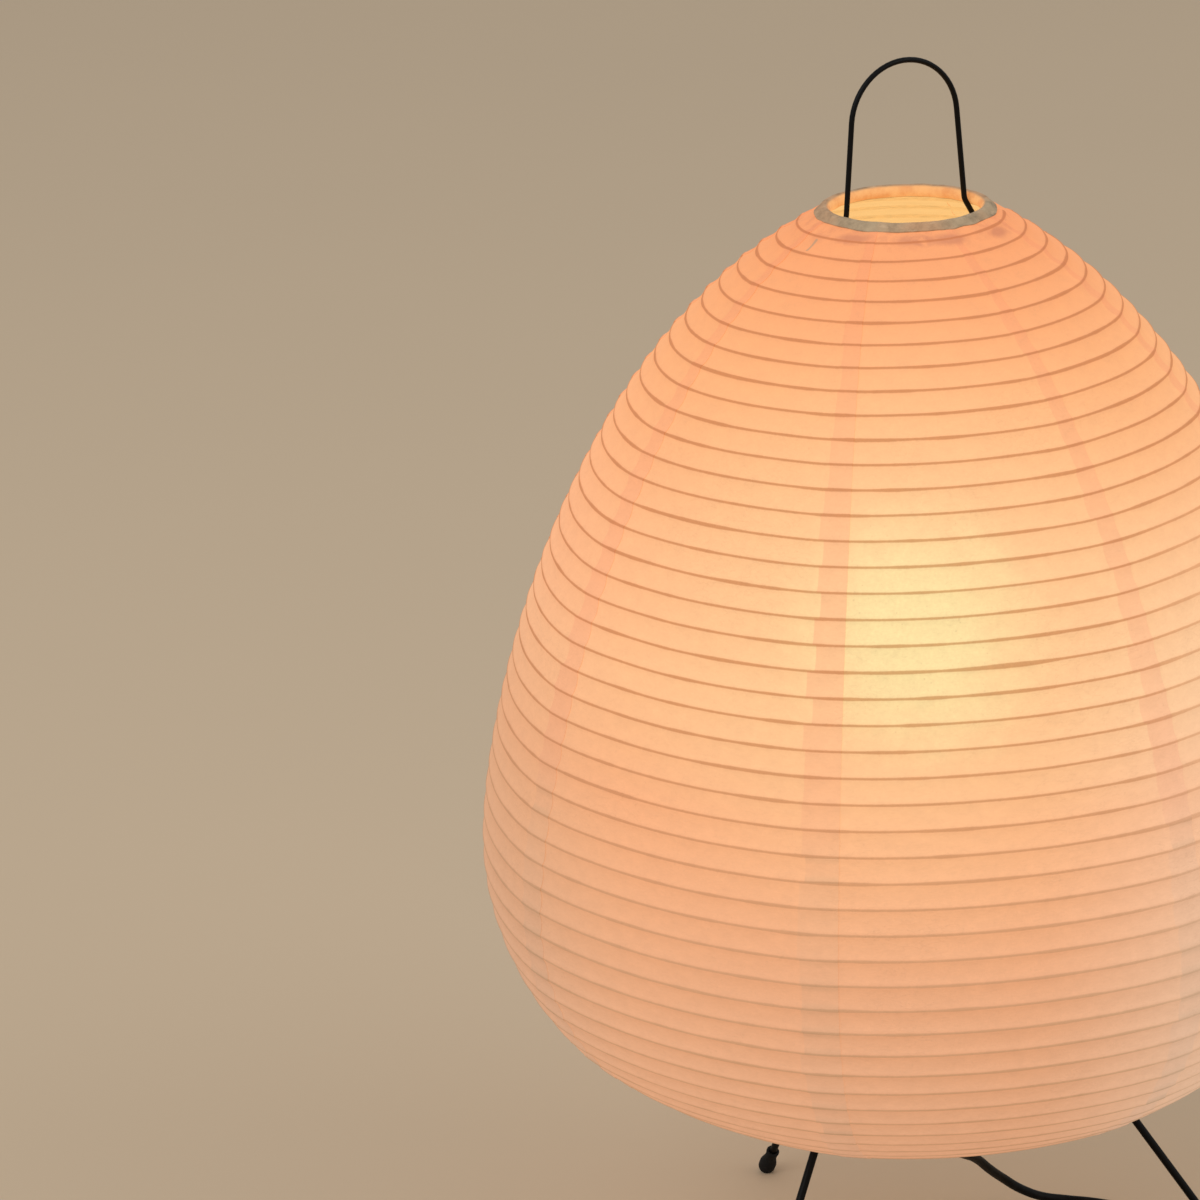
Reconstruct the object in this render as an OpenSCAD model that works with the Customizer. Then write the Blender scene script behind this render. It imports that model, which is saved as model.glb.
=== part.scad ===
// Rice paper table lamp: a washi lantern on a spiral bamboo rib, stretched over a
// bent wire frame with three legs. The origin is on the table, under the lamp's axis,
// with +Z up, and all sizes are in millimetres.

/* [Shade] */
// Diameter of the shade at its widest
shade_d = 259; // [220:1:300]
// Height from the bottom ring to the top ring
shade_h = 263.5; // [240:0.5:290]
// Height of the bottom ring above the table
shade_lift = 87; // [80:1:98]
// Height of the widest point above the bottom ring
belly_rise = 76; // [62:1:90]
// Slope of the paper where it leaves the top ring
top_slope = 28; // [20:1:34]
// Length of the flat run near the top ring
top_reach = 89; // [70:1:100]
// Length of the steep run above the widest point
upper_reach = 30; // [20:1:50]
// Length of the steep run below the widest point
lower_reach = 27; // [20:1:36]
// Length of the flat run under the shade
under_reach = 56; // [40:1:66]
// Slope of the underside where it meets the bottom ring
under_slope = 12; // [8:1:18]
// Thickness of the paper sheet
paper_t = 0.4; // [0.3:0.05:0.6]
// Angle that each sheet laps over the next
lap_angle = 4.4; // [3:0.1:6]

/* [Ribs and rings] */
// Spacing of the spiral rib along the paper
rib_pitch = 7.07; // [6.5:0.01:10]
// Width of the split bamboo
rib_w = 1.1; // [0.8:0.1:1.6]
// Depth of the split bamboo
rib_t = 0.8; // [0.6:0.1:1.2]
// Outer diameter of the top ring
top_ring_d = 50; // [46:1:56]
// Thickness of a ring with its paper wrap
ring_t = 4; // [3.4:0.1:5]
// Thickness of the wrap round the hoop
wrap_t = 0.6; // [0.4:0.1:0.8]

/* [Stretcher] */
// Diameter of the stretcher wire
stretcher_d = 1.6; // [1.4:0.1:2.2]
// Height of the handle above the top ring
handle_h = 43.5; // [36:0.5:55]
// Width of the handle between wire centres, under its arch
handle_w = 34.6; // [30:0.2:38]
// Gap between the bulb and each upright
upright_gap = 9; // [6:0.5:14]
// Drop from the shoulder to where the uprights begin
shoulder_drop = 18; // [14:1:26]
// Direction of the handle, seen from above
handle_turn = 26.6; // [20:0.2:34]
// Height of the sleeves that hold the wire ends
sleeve_h = 14; // [8:1:20]
// Outer diameter of a sleeve
sleeve_d = 4.6; // [4:0.1:6]

/* [Legs and hub] */
// Diameter of the leg wire
leg_d = 2.4; // [2:0.1:3]
// Diameter of the circle through the feet
foot_circle_d = 218.4; // [205:0.2:230]
// Lean of a leg from upright
leg_lean = 34; // [31:0.2:36]
// Direction of the front left leg, seen from above
leg_turn = -127; // [-132:1:-122]
// Diameter of a rubber foot
foot_d = 5.6; // [5:0.1:8]
// Length of the rubber sleeve on the leg
foot_len = 9; // [6:0.5:14]
// Height of the hub plate above the table
hub_z = 113; // [108:1:118]
// Diameter of the hub plate
hub_d = 60; // [50:1:64]
// Thickness of the hub plate
hub_t = 1.5; // [1:0.1:2.5]

/* [Lampholder and bulb] */
// Outer diameter of the holder
holder_d = 40; // [38:0.5:44]
// Height of the holder's cap
cap_h = 21.5; // [20:0.5:26]
// Height of the holder's body
body_h = 37; // [34:0.5:40]
// Diameter of the bulb's glass
bulb_d = 60; // [55:1:65]
// Height of the bulb from its contact to its top
bulb_h = 107; // [102:1:112]
// Diameter of the bulb's screw cap
screw_d = 26.3; // [26:0.1:26.5]
// Diameter of the threaded tube through the hub
nipple_d = 10; // [9:0.5:11]

/* [Cord set] */
// Diameter of the cord
cord_d = 3; // [2.8:0.1:3.2]
// Length of the tapered strain relief under the hub
relief_len = 24; // [20:1:28]
// Width of the cord switch
switch_w = 22; // [20:0.5:25]
// Height of the cord switch
switch_h = 14.5; // [13.5:0.5:17]
// Rock of the switch between on and off
rocker_rock = 18; // [12:1:20]
// Thickness of the plug
plug_t = 14; // [12.5:0.5:15]
// Length of the plug's pins
pin_len = 19; // [18.5:0.1:19.5]
// Diameter of the plug's pins
pin_d = 4; // [3.9:0.02:4.1]

/* [Hidden] */
$fn = 32;

// Clearances
seat_gap = 0.3;   // a loose seat between two pieces
close_gap = 0.1;  // a close seat within one assembly
fit_gap = 0.05;   // radial clearance of a wire or thread in its hole
thread_gap = 0.55; // radial clearance of the bulb's screw in its shell

// Shade levels and radii
shade_r = shade_d / 2;
bottom_z = shade_lift;
top_z = bottom_z + shade_h;
belly_z = bottom_z + belly_rise;
ring_r = ring_t / 2;
top_ring_r = top_ring_d / 2 - ring_r;
gore_count = 8;
gore_angle = 360 / gore_count;
seam_turn = 251.9;

// Feet and legs
foot_flat = 0.5;
foot_z = foot_d / 2 - foot_flat;
foot_r = foot_circle_d / 2;
arm_z = hub_z - leg_d / 2;
arm_in = 12;
knee_r = foot_r - tan(leg_lean) * (arm_z - foot_z);
knee_radius = 6;
leg_count = 3;

// Bottom ring, which drops over the splayed legs until it is snug on them
bottom_ring_r = leg_at(bottom_z) + (ring_r + leg_d / 2 + seat_gap) / cos(leg_lean);

// Holder and bulb stack, from the hub upwards
hub_top = hub_z + hub_t;
insert_z = hub_top + 13.5;
insert_t = 11;
insert_top = insert_z + insert_t;
body_z = hub_top + cap_h;
shell_r = screw_d / 2 + thread_gap;
shell_t = 0.6;
shell_h = 26;
bore_r = shell_r + shell_t + seat_gap;
contact_t = 0.9;
bulb_z = insert_top + contact_t + seat_gap;
bulb_r = bulb_d / 2;
bulb_top = bulb_z + bulb_h;
globe_z = bulb_top - bulb_r;
neck_rise = 25.8;
neck_z = bulb_z + neck_rise;
neck_r = screw_d / 2 + 0.25;
glass_t = 1;

// Stretcher wire
upright_u = bulb_r + upright_gap;
shoulder_z = top_z - ring_r - seat_gap - stretcher_d / 2;
neck_u = top_ring_r - ring_r - seat_gap - stretcher_d / 2;
handle_top = top_z + handle_h - stretcher_d / 2;
handle_u = handle_w / 2;
lug_r = sleeve_d / 2 + 3.6;

// Cord, switch and plug
cord_r = cord_d / 2;
nipple_z = hub_z - 7;
nut_t = 3;
relief_top = nipple_z;
relief_z = relief_top - relief_len;
entry_z = 5;
switch_len = 60;
switch_at = [66, -46];
switch_turn = 240;
coil_at = [-12, -60.5];
plug_at = [0, -6];
plug_turn = 180;
plug_z = plug_t / 2;

// Route from the strain relief down to the table and round to the switch
lead_route = [
  [0, 0, relief_z], [0, 0, 75], [1, 2, 67], [3, 7, 59], [7, 15, 51], [12, 25, 43],
  [17, 36, 36], [22, 46, 29], [27, 54, 21], [32, 61, 14], [38, 65, 8], [45, 67, 4],
  [53, 68, 2], [62, 66, 1.6], [70, 62, 1.6], [78, 56, 1.6], [85, 48, 1.6],
  [90, 39, 1.6], [93, 29, 1.6], [94, 19, 1.6], [93, 9, 1.7], [91, 0, 2.2],
  [88, -8, 3.4], [84.5, -14, 4.6], [81, -20, entry_z]
];
// Route from the switch to the coil
tail_route = [
  [51, -72, entry_z], [48, -77.2, 4.8], [44, -81, 4], [39, -83.6, 3], [33, -85, 2.1],
  [26, -85.4, 1.6], [18, -85, 1.6], [10, -84.4, 1.8], [3, -84, 2.1], [-4, -84, 2.3],
  [-9, -84, 2.3]
];
// Route from the coil to the plug
end_route = [
  [-9, -37, 13.1], [-2, -37, 12.4], [4, -37, 10.6], [10.5, -36.8, 8.3], [17.8, -34.6, 5.8],
  [23.4, -29.2, 3.8], [25.5, -21.5, 2.3], [23.4, -13.8, 1.8], [17.8, -8.4, 2.6],
  [10.5, -6.2, 4.6], [5, -6, 6.4], [seat_gap, -6, plug_t / 2]
];

// Coil of the cord that is put away: layers of turns that spiral in and out
coil_r_in = 12.5;
coil_r_out = 23.5;
coil_layers = 4;
layer_turns = 2.75;
climb_turns = 0.5;
coil_rise = 3.6;
coil_z = 2.3;
coil_rings = 24;
tie_t = 0.5;
tie_w = 6;

// Geometry helpers
function unit(v) = v / norm(v);
function bezier(p, t) =
  pow(1 - t, 3) * p[0] + 3 * t * pow(1 - t, 2) * p[1]
  + 3 * t * t * (1 - t) * p[2] + pow(t, 3) * p[3];
function leg_at(z) = foot_r - tan(leg_lean) * (z - foot_z);
function on_circle(c, r, a) = [c[0] + r * cos(a), c[1] + r * sin(a)];

// Profile of the shade as [radius, height], from the top ring to the bottom ring
paper_top = [top_ring_d / 2 + seat_gap, top_z];
paper_end = [bottom_ring_r + ring_r + seat_gap, bottom_z];
upper_curve = [
  paper_top,
  paper_top + top_reach * [cos(top_slope), -sin(top_slope)],
  [shade_r, belly_z + upper_reach],
  [shade_r, belly_z]
];
lower_curve = [
  [shade_r, belly_z],
  [shade_r, belly_z - lower_reach],
  paper_end + under_reach * [cos(under_slope), sin(under_slope)],
  paper_end
];
upper_steps = 14;
lower_steps = 9;
shade_curve = concat(
  [for (i = [0:upper_steps]) bezier(upper_curve, i / upper_steps)],
  [for (i = [1:lower_steps]) bezier(lower_curve, i / lower_steps)]
);

// Outward normals of a profile that runs from top to bottom
function heading(c, i) = unit(c[min(i + 1, len(c) - 1)] - c[max(i - 1, 0)]);
function outward(c, i) = [-heading(c, i)[1], heading(c, i)[0]];
function shifted(c, d) = [for (i = [0:len(c) - 1]) c[i] + d * outward(c, i)];
function reversed(c) = [for (i = [len(c) - 1:-1:0]) c[i]];

// Band of the profile between two distances from its outer face
module band(outer, inner) {
  polygon(concat(shifted(shade_curve, outer), reversed(shifted(shade_curve, inner))));
}

// One sheet of paper, from ring to ring, with a step near its edge that lifts the lap
// over the next sheet. Each run starts a little inside the one before it.
edge_angle = 0.1;
step_angle = 0.5;
run_in = 0.04;
module paper_gore(k) {
  step_from = gore_angle - step_angle;
  rotate([0, 0, seam_turn + (k - 1) * gore_angle]) color([0.97, 0.78, 0.58]) {
    rotate_extrude(angle = gore_angle - edge_angle) band(0, -paper_t);
    rotate([0, 0, step_from - run_in])
      rotate_extrude(angle = step_angle) band(fit_gap + paper_t / 2, -paper_t / 2);
    rotate([0, 0, step_from])
      rotate_extrude(angle = step_angle + lap_angle) band(fit_gap + paper_t, fit_gap);
  }
}

// Distance run along the profile, and the profile looked up by that distance
function run_to(c, i, s = 0, k = 1) = k > i ? s : run_to(c, i, s + norm(c[k] - c[k - 1]), k + 1);
runs = [for (i = [0:len(shade_curve) - 1]) run_to(shade_curve, i)];
radius_by_run = [for (i = [0:len(runs) - 1]) [runs[i], shade_curve[i][0]]];
height_by_run = [for (i = [0:len(runs) - 1]) [runs[i], shade_curve[i][1]]];
function profile_at(s) = [lookup(s, radius_by_run), lookup(s, height_by_run)];
function slope_at(s) = unit(profile_at(s + 0.5) - profile_at(s - 0.5));

// Spiral rib: one split bamboo strip wound right-handed under the paper
rib_margin = 3;
rib_steps = 20;
rib_turns = floor((runs[len(runs) - 1] - 2 * rib_margin) / rib_pitch);
rib_start = 359;
module bamboo_rib() {
  count = rib_turns * rib_steps;
  corners = [for (i = [0:count])
    let (
      s = rib_margin + rib_pitch * i / rib_steps,
      a = rib_start - 360 * i / rib_steps,
      p = profile_at(s),
      along = slope_at(s),
      out = [-along[1], along[0]],
      outer = p - (paper_t + seat_gap) * out,
      inner = outer - rib_t * out,
      half = rib_w / 2
    )
    for (q = [outer - half * along, outer + half * along,
              inner + half * along, inner - half * along])
      [q[0] * cos(a), q[0] * sin(a), q[1]]];
  color([0.62, 0.42, 0.22]) strip_solid(corners, 4, count);
}

// Closed solid from rings of corners, each ring with the same number of sides
module strip_solid(points, sides, count) {
  walls = [for (i = [0:count - 1]) for (j = [0:sides - 1])
    let (a = i * sides + j, b = i * sides + (j + 1) % sides)
    for (f = [[a, b, b + sides], [a, b + sides, a + sides]]) f];
  first = [for (j = [1:sides - 2]) [0, j + 1, j]];
  last = [for (j = [1:sides - 2]) [0, j, j + 1] + count * sides * [1, 1, 1]];
  polyhedron(points, concat(walls, first, last), convexity = 10);
}

// Rings: a hoop inside a paper wrap
module hoop(r, z) {
  translate([0, 0, z]) rotate_extrude() translate([r, 0]) circle(ring_r - wrap_t - fit_gap);
}
module wrap(r, z) {
  translate([0, 0, z]) rotate_extrude() translate([r, 0])
    difference() {
      circle(ring_r);
      circle(ring_r - wrap_t);
    }
}
module top_hoop() { color([0.55, 0.42, 0.28]) hoop(top_ring_r, top_z); }
module top_wrap() { color([0.80, 0.72, 0.60]) wrap(top_ring_r, top_z); }
module bottom_hoop() { color([0.55, 0.42, 0.28]) hoop(bottom_ring_r, bottom_z); }
module bottom_wrap() { color([0.80, 0.72, 0.60]) wrap(bottom_ring_r, bottom_z); }

// Bent wire in the XZ plane, with a round bend at each inner point of its path. A ball
// a hair wider than the wire closes the joint where a straight run meets a bend.
ball_over = 0.04;
function turn_at(p, i) =
  let (a = unit(p[i] - p[i - 1]), b = unit(p[i + 1] - p[i]))
  atan2(a[0] * b[1] - a[1] * b[0], a * b);
function bend_run(p, bends, i) =
  i == 0 || i == len(p) - 1 ? 0 : bends[i] * tan(abs(turn_at(p, i)) / 2);
module bent_wire(p, bends, d) {
  rotate([90, 0, 0]) {
    for (i = [0:len(p) - 2]) {
      along = unit(p[i + 1] - p[i]);
      from = p[i] + bend_run(p, bends, i) * along;
      length = norm(p[i + 1] - p[i]) - bend_run(p, bends, i) - bend_run(p, bends, i + 1);
      if (length > 0.01)
        translate(from) rotate([0, 90, atan2(along[1], along[0])]) cylinder(h = length, d = d);
    }
    for (i = [1:len(p) - 2]) {
      turn = turn_at(p, i);
      side = sign(turn);
      along = unit(p[i] - p[i - 1]);
      away = unit(p[i + 1] - p[i]);
      from = p[i] - bend_run(p, bends, i) * along;
      to = p[i] + bend_run(p, bends, i) * away;
      centre = from + side * bends[i] * [-along[1], along[0]];
      first = atan2(from[1] - centre[1], from[0] - centre[0]);
      translate(centre) rotate([0, 0, side > 0 ? first : first + turn])
        rotate_extrude(angle = abs(turn)) translate([bends[i], 0]) circle(d / 2);
      for (joint = [from, to]) translate(joint) sphere(d = d + ball_over);
    }
  }
}

// Stretcher: one wire from sleeve to sleeve, with shoulders that carry the top ring
// and a handle arch above it
lean_z = top_z + 4;
arch_z = handle_top - handle_u;
handle_lean = atan((neck_u - handle_u) / (arch_z - lean_z));
arch_corner = neck_u - tan(handle_lean) * (handle_top - lean_z);
arch_bend = arch_corner / tan((90 - handle_lean) / 2);
wire_foot = hub_top + close_gap;
half_path = [
  [upright_u, wire_foot],
  [upright_u, shoulder_z - shoulder_drop],
  [neck_u + 5.5, shoulder_z],
  [neck_u, shoulder_z],
  [neck_u, lean_z],
  [arch_corner, handle_top]
];
half_bends = [0, 10, 3, 2.3, 14, arch_bend];
module stretcher_wire() {
  other = [for (p = reversed(half_path)) [-p[0], p[1]]];
  path = concat(half_path, other);
  bends = concat(half_bends, reversed(half_bends));
  rotate([0, 0, handle_turn]) color([0.10, 0.10, 0.11]) bent_wire(path, bends, stretcher_d);
}

// Sleeves on the hub's lugs, which hold the ends of the stretcher
module wire_sleeves() {
  rotate([0, 0, handle_turn]) color([0.14, 0.14, 0.15])
    for (side = [-1, 1])
      translate([side * upright_u, 0, hub_top]) difference() {
        cylinder(h = sleeve_h, d = sleeve_d);
        translate([0, 0, -1]) cylinder(h = sleeve_h + 2, r = stretcher_d / 2 + fit_gap);
      }
}

// Pressed hub plate: a disc with two lugs in line with the handle
module hub_plate() {
  rotate([0, 0, handle_turn]) color([0.13, 0.13, 0.14])
    translate([0, 0, hub_z]) difference() {
      linear_extrude(hub_t) {
        circle(hub_d / 2, $fn = 64);
        square([2 * upright_u, 2 * lug_r], center = true);
        for (side = [-1, 1]) translate([side * upright_u, 0]) circle(lug_r);
      }
      translate([0, 0, -1]) cylinder(h = hub_t + 2, r = nipple_d / 2 + close_gap);
    }
}
module hub_nut() {
  across = nipple_d + 4.5;
  color([0.75, 0.62, 0.35]) translate([0, 0, hub_z - nut_t]) difference() {
    cylinder(h = nut_t, r = across / 2 / cos(30), $fn = 6);
    translate([0, 0, -1]) cylinder(h = nut_t + 2, r = nipple_d / 2 + fit_gap);
  }
}
module nipple_tube() {
  wall = 1.5;
  color([0.75, 0.62, 0.35]) translate([0, 0, nipple_z]) difference() {
    cylinder(h = insert_z - 2 - nipple_z, d = nipple_d);
    translate([0, 0, -1]) cylinder(h = insert_z, r = nipple_d / 2 - wall);
  }
}

// Legs: an arm under the hub, a knee, and a straight run down to the foot
leg_angles = [for (k = [0:leg_count - 1]) leg_turn + k * 360 / leg_count];
module leg(k) {
  rotate([0, 0, leg_angles[k]]) color([0.10, 0.10, 0.11])
    bent_wire([[arm_in, arm_z], [knee_r, arm_z], [foot_r, foot_z]], [0, knee_radius, 0], leg_d);
}
module foot(k) {
  rotate([0, 0, leg_angles[k]]) color([0.06, 0.06, 0.06]) difference() {
    translate([foot_r, 0, foot_z]) rotate([0, -leg_lean, 0]) difference() {
      union() {
        sphere(d = foot_d);
        cylinder(h = foot_len, d = foot_d);
      }
      cylinder(h = foot_len + 1, r = leg_d / 2 + fit_gap);
    }
    translate([foot_r, 0, -foot_d]) cube(2 * foot_d, center = true);
  }
}

// Fingers on the legs that keep the bottom ring down while the shade is stretched
finger_d = 1.6;
finger_radius = 1.6;
finger_out = 1.5;
finger_rise = 3;
finger_z = bottom_z + ring_r + seat_gap + finger_d / 2;
module ring_hooks() {
  start = leg_at(finger_z - finger_d / 2) + leg_d / 2 / cos(leg_lean) + close_gap;
  tip = bottom_ring_r + ring_r;
  for (a = leg_angles)
    rotate([0, 0, a]) color([0.10, 0.10, 0.11])
      bent_wire([[start, finger_z], [tip, finger_z], [tip + finger_out, finger_z + finger_rise]],
                [0, finger_radius, 0], finger_d);
}

// Lampholder: cap on the threaded tube, insert with its contact, screw shell and body
holder_r = holder_d / 2;
module holder_cap() {
  base_t = 3;
  base_r = holder_r - 6.5;
  wall = 2;
  dome_z = insert_z - hub_top;
  color([0.08, 0.08, 0.08]) translate([0, 0, hub_top]) rotate_extrude()
    polygon([
      [nipple_d / 2 + fit_gap, 0], [base_r, 0], [holder_r - 3, 3], [holder_r - 1, 7],
      [holder_r, 12], [holder_r, cap_h], [bore_r + 0.8, cap_h], [bore_r + 0.8, dome_z],
      [bore_r - 2, dome_z], [holder_r - 5 - wall, base_t + 4],
      [base_r - wall, base_t], [nipple_d / 2 + fit_gap, base_t]
    ]);
}
module holder_insert() {
  color([0.85, 0.83, 0.78]) translate([0, 0, insert_z]) difference() {
    cylinder(h = insert_t, r = bore_r - close_gap);
    for (side = [-1, 1]) translate([side * 7, 0, -1]) cylinder(h = 6, d = 4);
  }
}
module holder_contact() {
  color([0.80, 0.62, 0.30]) translate([0, 0, insert_top]) cylinder(h = contact_t, r = 4);
}
module holder_shell() {
  color([0.80, 0.62, 0.30]) translate([0, 0, insert_top]) difference() {
    cylinder(h = shell_h, r = shell_r + shell_t);
    translate([0, 0, -1]) cylinder(h = shell_h + 2, r = shell_r);
  }
}
module holder_body() {
  rim = 1.2;
  groove = 0.6;
  color([0.08, 0.08, 0.08]) translate([0, 0, body_z]) rotate_extrude()
    polygon([
      [bore_r, 0], [holder_r, 0], [holder_r, 3], [holder_r - groove, 3.6],
      [holder_r - groove, 5], [holder_r, 5.6], [holder_r - 0.5, body_h - rim],
      [holder_r - rim - 0.5, body_h], [bore_r, body_h]
    ]);
}

// Bulb: screw cap and glass turn together, the contact under them only rises
module bulb_contact() {
  color([0.70, 0.70, 0.72]) translate([0, 0, bulb_z]) cylinder(h = 1.4, r1 = 3.6, r2 = 4.6);
}
module bulb_insulator() {
  color([0.10, 0.09, 0.10]) translate([0, 0, bulb_z + 1.4 + close_gap])
    cylinder(h = 4.3, r1 = 5, r2 = screw_d / 2 - 2);
}
module bulb_cap() {
  cap_z = bulb_z + 5.8;
  wall = 0.8;
  color([0.72, 0.72, 0.74]) translate([0, 0, cap_z]) rotate_extrude()
    polygon([
      [0, 0], [screw_d / 2 - 2, 0], [screw_d / 2, 2], [screw_d / 2, neck_z - cap_z],
      [screw_d / 2 - wall, neck_z - cap_z], [screw_d / 2 - wall, 3], [0, 3]
    ]);
}
globe_from = -40;
globe_join = [bulb_r * cos(globe_from), globe_z + bulb_r * sin(globe_from)];
neck_curve = [
  [neck_r, neck_z],
  [neck_r, neck_z + 14],
  globe_join - 14 * [-sin(globe_from), cos(globe_from)],
  globe_join
];
glass_curve = reversed(concat(
  [for (i = [0:6]) bezier(neck_curve, i / 6)],
  [for (a = [globe_from + 10:10:90]) on_circle([0, globe_z], bulb_r, a)]
));
module bulb_glass() {
  inner = shifted(glass_curve, -glass_t);
  top = len(glass_curve) - 1;
  inside = [for (i = [0:top]) i == 0 ? [0, bulb_top - glass_t] : inner[i]];
  color([1, 0.93, 0.78]) rotate_extrude() polygon(concat(glass_curve, reversed(inside)));
}

// Strain relief under the hub
module cord_relief() {
  flange_t = 3;
  color([0.05, 0.05, 0.05]) rotate_extrude() polygon([
    [0, relief_z], [cord_r + 0.7, relief_z], [cord_r + 3, relief_top - flange_t - 3],
    [cord_r + 3, relief_top - flange_t], [nipple_d / 2 + 1.5, relief_top - flange_t],
    [nipple_d / 2 + 1.5, relief_top], [0, relief_top]
  ]);
}

// Cord: a round tube along a route
cord_sides = 8;
function route_way(p, i) = unit(p[min(i + 1, len(p) - 1)] - p[max(i - 1, 0)]);
function side_way(w) =
  abs(w[2]) > 0.85 ? unit(cross(w, [0, 1, 0])) : unit(cross(w, [0, 0, 1]));
module cord_tube(p) {
  points = [for (i = [0:len(p) - 1])
    let (w = route_way(p, i), a = side_way(w), b = cross(w, a))
    for (j = [0:cord_sides - 1])
      p[i] + cord_r * (cos(360 * j / cord_sides) * a + sin(360 * j / cord_sides) * b)];
  color([0.05, 0.05, 0.05]) strip_solid(points, cord_sides, len(p) - 1);
}
module cord_lead() { cord_tube(lead_route); }
module cord_tail() { cord_tube(tail_route); }
module cord_end() { cord_tube(end_route); }

// Coil: turns that spiral in and out again, a layer higher after each reversal
coil_pitch = (coil_r_out - coil_r_in) / layer_turns;
layer_span = layer_turns + climb_turns;
coil_turns = coil_layers * layer_span - climb_turns;
function coil_point(n) =
  let (
    layer = min(floor(n / layer_span), coil_layers - 1),
    m = n - layer * layer_span,
    run = min(m / layer_turns, 1),
    climb = max(m - layer_turns, 0) / climb_turns,
    r = layer % 2 == 0 ? coil_r_out - (coil_r_out - coil_r_in) * run
                       : coil_r_in + (coil_r_out - coil_r_in) * run,
    a = -90 - 360 * n
  )
  [coil_at[0] + r * cos(a), coil_at[1] + r * sin(a), coil_z + coil_rise * (layer + climb)];
coil_centres = [for (i = [0:round(coil_turns * coil_rings)]) coil_point(i / coil_rings)];
coil_last = coil_centres[len(coil_centres) - 1];
coil_path = concat(
  [coil_centres[0] + [cord_d, 0, 0]],
  coil_centres,
  [coil_last + [cord_d, 0, 0]]
);
coil_sides = 6;
least_gap = min([for (i = [0:len(coil_centres) - 1])
  for (j = [i + 8:len(coil_centres) - 1])
    if (norm(coil_centres[i] - coil_centres[j]) < 2 * cord_d)
      norm(coil_centres[i] - coil_centres[j])]) - cord_d;
echo(least_coil_gap = least_gap);
module cord_coil() {
  points = [for (i = [0:len(coil_path) - 1])
    let (w = route_way(coil_path, i), a = side_way(w), b = cross(w, a))
    for (j = [0:coil_sides - 1])
      coil_path[i] + cord_r * (cos(360 * j / coil_sides) * a + sin(360 * j / coil_sides) * b)];
  color([0.05, 0.05, 0.05]) strip_solid(points, coil_sides, len(coil_path) - 1);
}

// Tie: a band with rounded corners round all the turns, at the left of the coil
module cord_tie() {
  tie_gap = 0.3;
  wide = coil_r_out - coil_r_in + cord_d + 2 * tie_gap;
  high = (coil_layers - 1) * coil_rise + cord_d + 2 * tie_gap;
  corner = 1;
  color([0.09, 0.09, 0.09])
    translate([coil_at[0] - (coil_r_in + coil_r_out) / 2, coil_at[1], tie_t + high / 2])
      rotate([90, 0, 0]) linear_extrude(tie_w, center = true) difference() {
        rounded_box(wide + 2 * tie_t, high + 2 * tie_t, corner + tie_t);
        rounded_box(wide, high, corner);
      }
}
module rounded_box(w, h, r) {
  square([w - 2 * r, h], center = true);
  square([w, h - 2 * r], center = true);
  for (x = [-1, 1], y = [-1, 1]) translate([x * (w / 2 - r), y * (h / 2 - r)]) circle(r);
}

// Cord switch: two moulded halves, held by screws, with a rocker on two stub pins
split_z = 6.5;
screw_at = 21;
rocker_l = 15;
rocker_w = 9;
rocker_gap = 0.4;
rocker_pin_d = 2.4;
rocker_pin_l = 1.2;
rocker_axis_z = switch_h - 2;
well_floor = split_z + 1.6;
module on_switch() {
  translate([switch_at[0], switch_at[1], 0]) rotate([0, 0, switch_turn]) children();
}
module switch_outline(inset) {
  end_w = switch_w - 9;
  l = switch_len / 2 - inset;
  w = switch_w / 2 - inset;
  e = end_w / 2 - inset;
  polygon([[-l, -e + 2], [-l + 2, -e], [-16, -w], [16, -w], [l - 2, -e], [l, -e + 2],
           [l, e - 2], [l - 2, e], [16, w], [-16, w], [-l + 2, e], [-l, e - 2]]);
}
module switch_base() {
  on_switch() color([0.05, 0.05, 0.05]) difference() {
    union() {
      linear_extrude(1) switch_outline(0.8);
      translate([0, 0, 1]) linear_extrude(split_z - 1 - close_gap / 2) switch_outline(0);
    }
    for (side = [-1, 1]) translate([side * screw_at, 0, -1]) {
      cylinder(h = 3, d = 5);
      cylinder(h = split_z + 2, d = 2.6);
    }
  }
}
module switch_cover() {
  edge = 1.2;
  on_switch() color([0.05, 0.05, 0.05]) difference() {
    union() {
      translate([0, 0, split_z + close_gap / 2])
        linear_extrude(switch_h - edge - split_z - close_gap / 2) switch_outline(0);
      translate([0, 0, switch_h - edge]) linear_extrude(edge) switch_outline(edge);
    }
    translate([0, 0, (well_floor + switch_h + 1) / 2])
      cube([rocker_l + 2 * rocker_gap, rocker_w + 2 * rocker_gap, switch_h + 1 - well_floor],
           center = true);
    translate([0, 0, rocker_axis_z]) rotate([90, 0, 0])
      cylinder(h = rocker_w + 2 * rocker_gap + 2 * rocker_pin_l, d = rocker_pin_d + 2 * fit_gap,
               center = true);
    for (side = [-1, 1]) translate([side * screw_at, 0, split_z - 1]) cylinder(h = 5, d = 2.2);
  }
}
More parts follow.
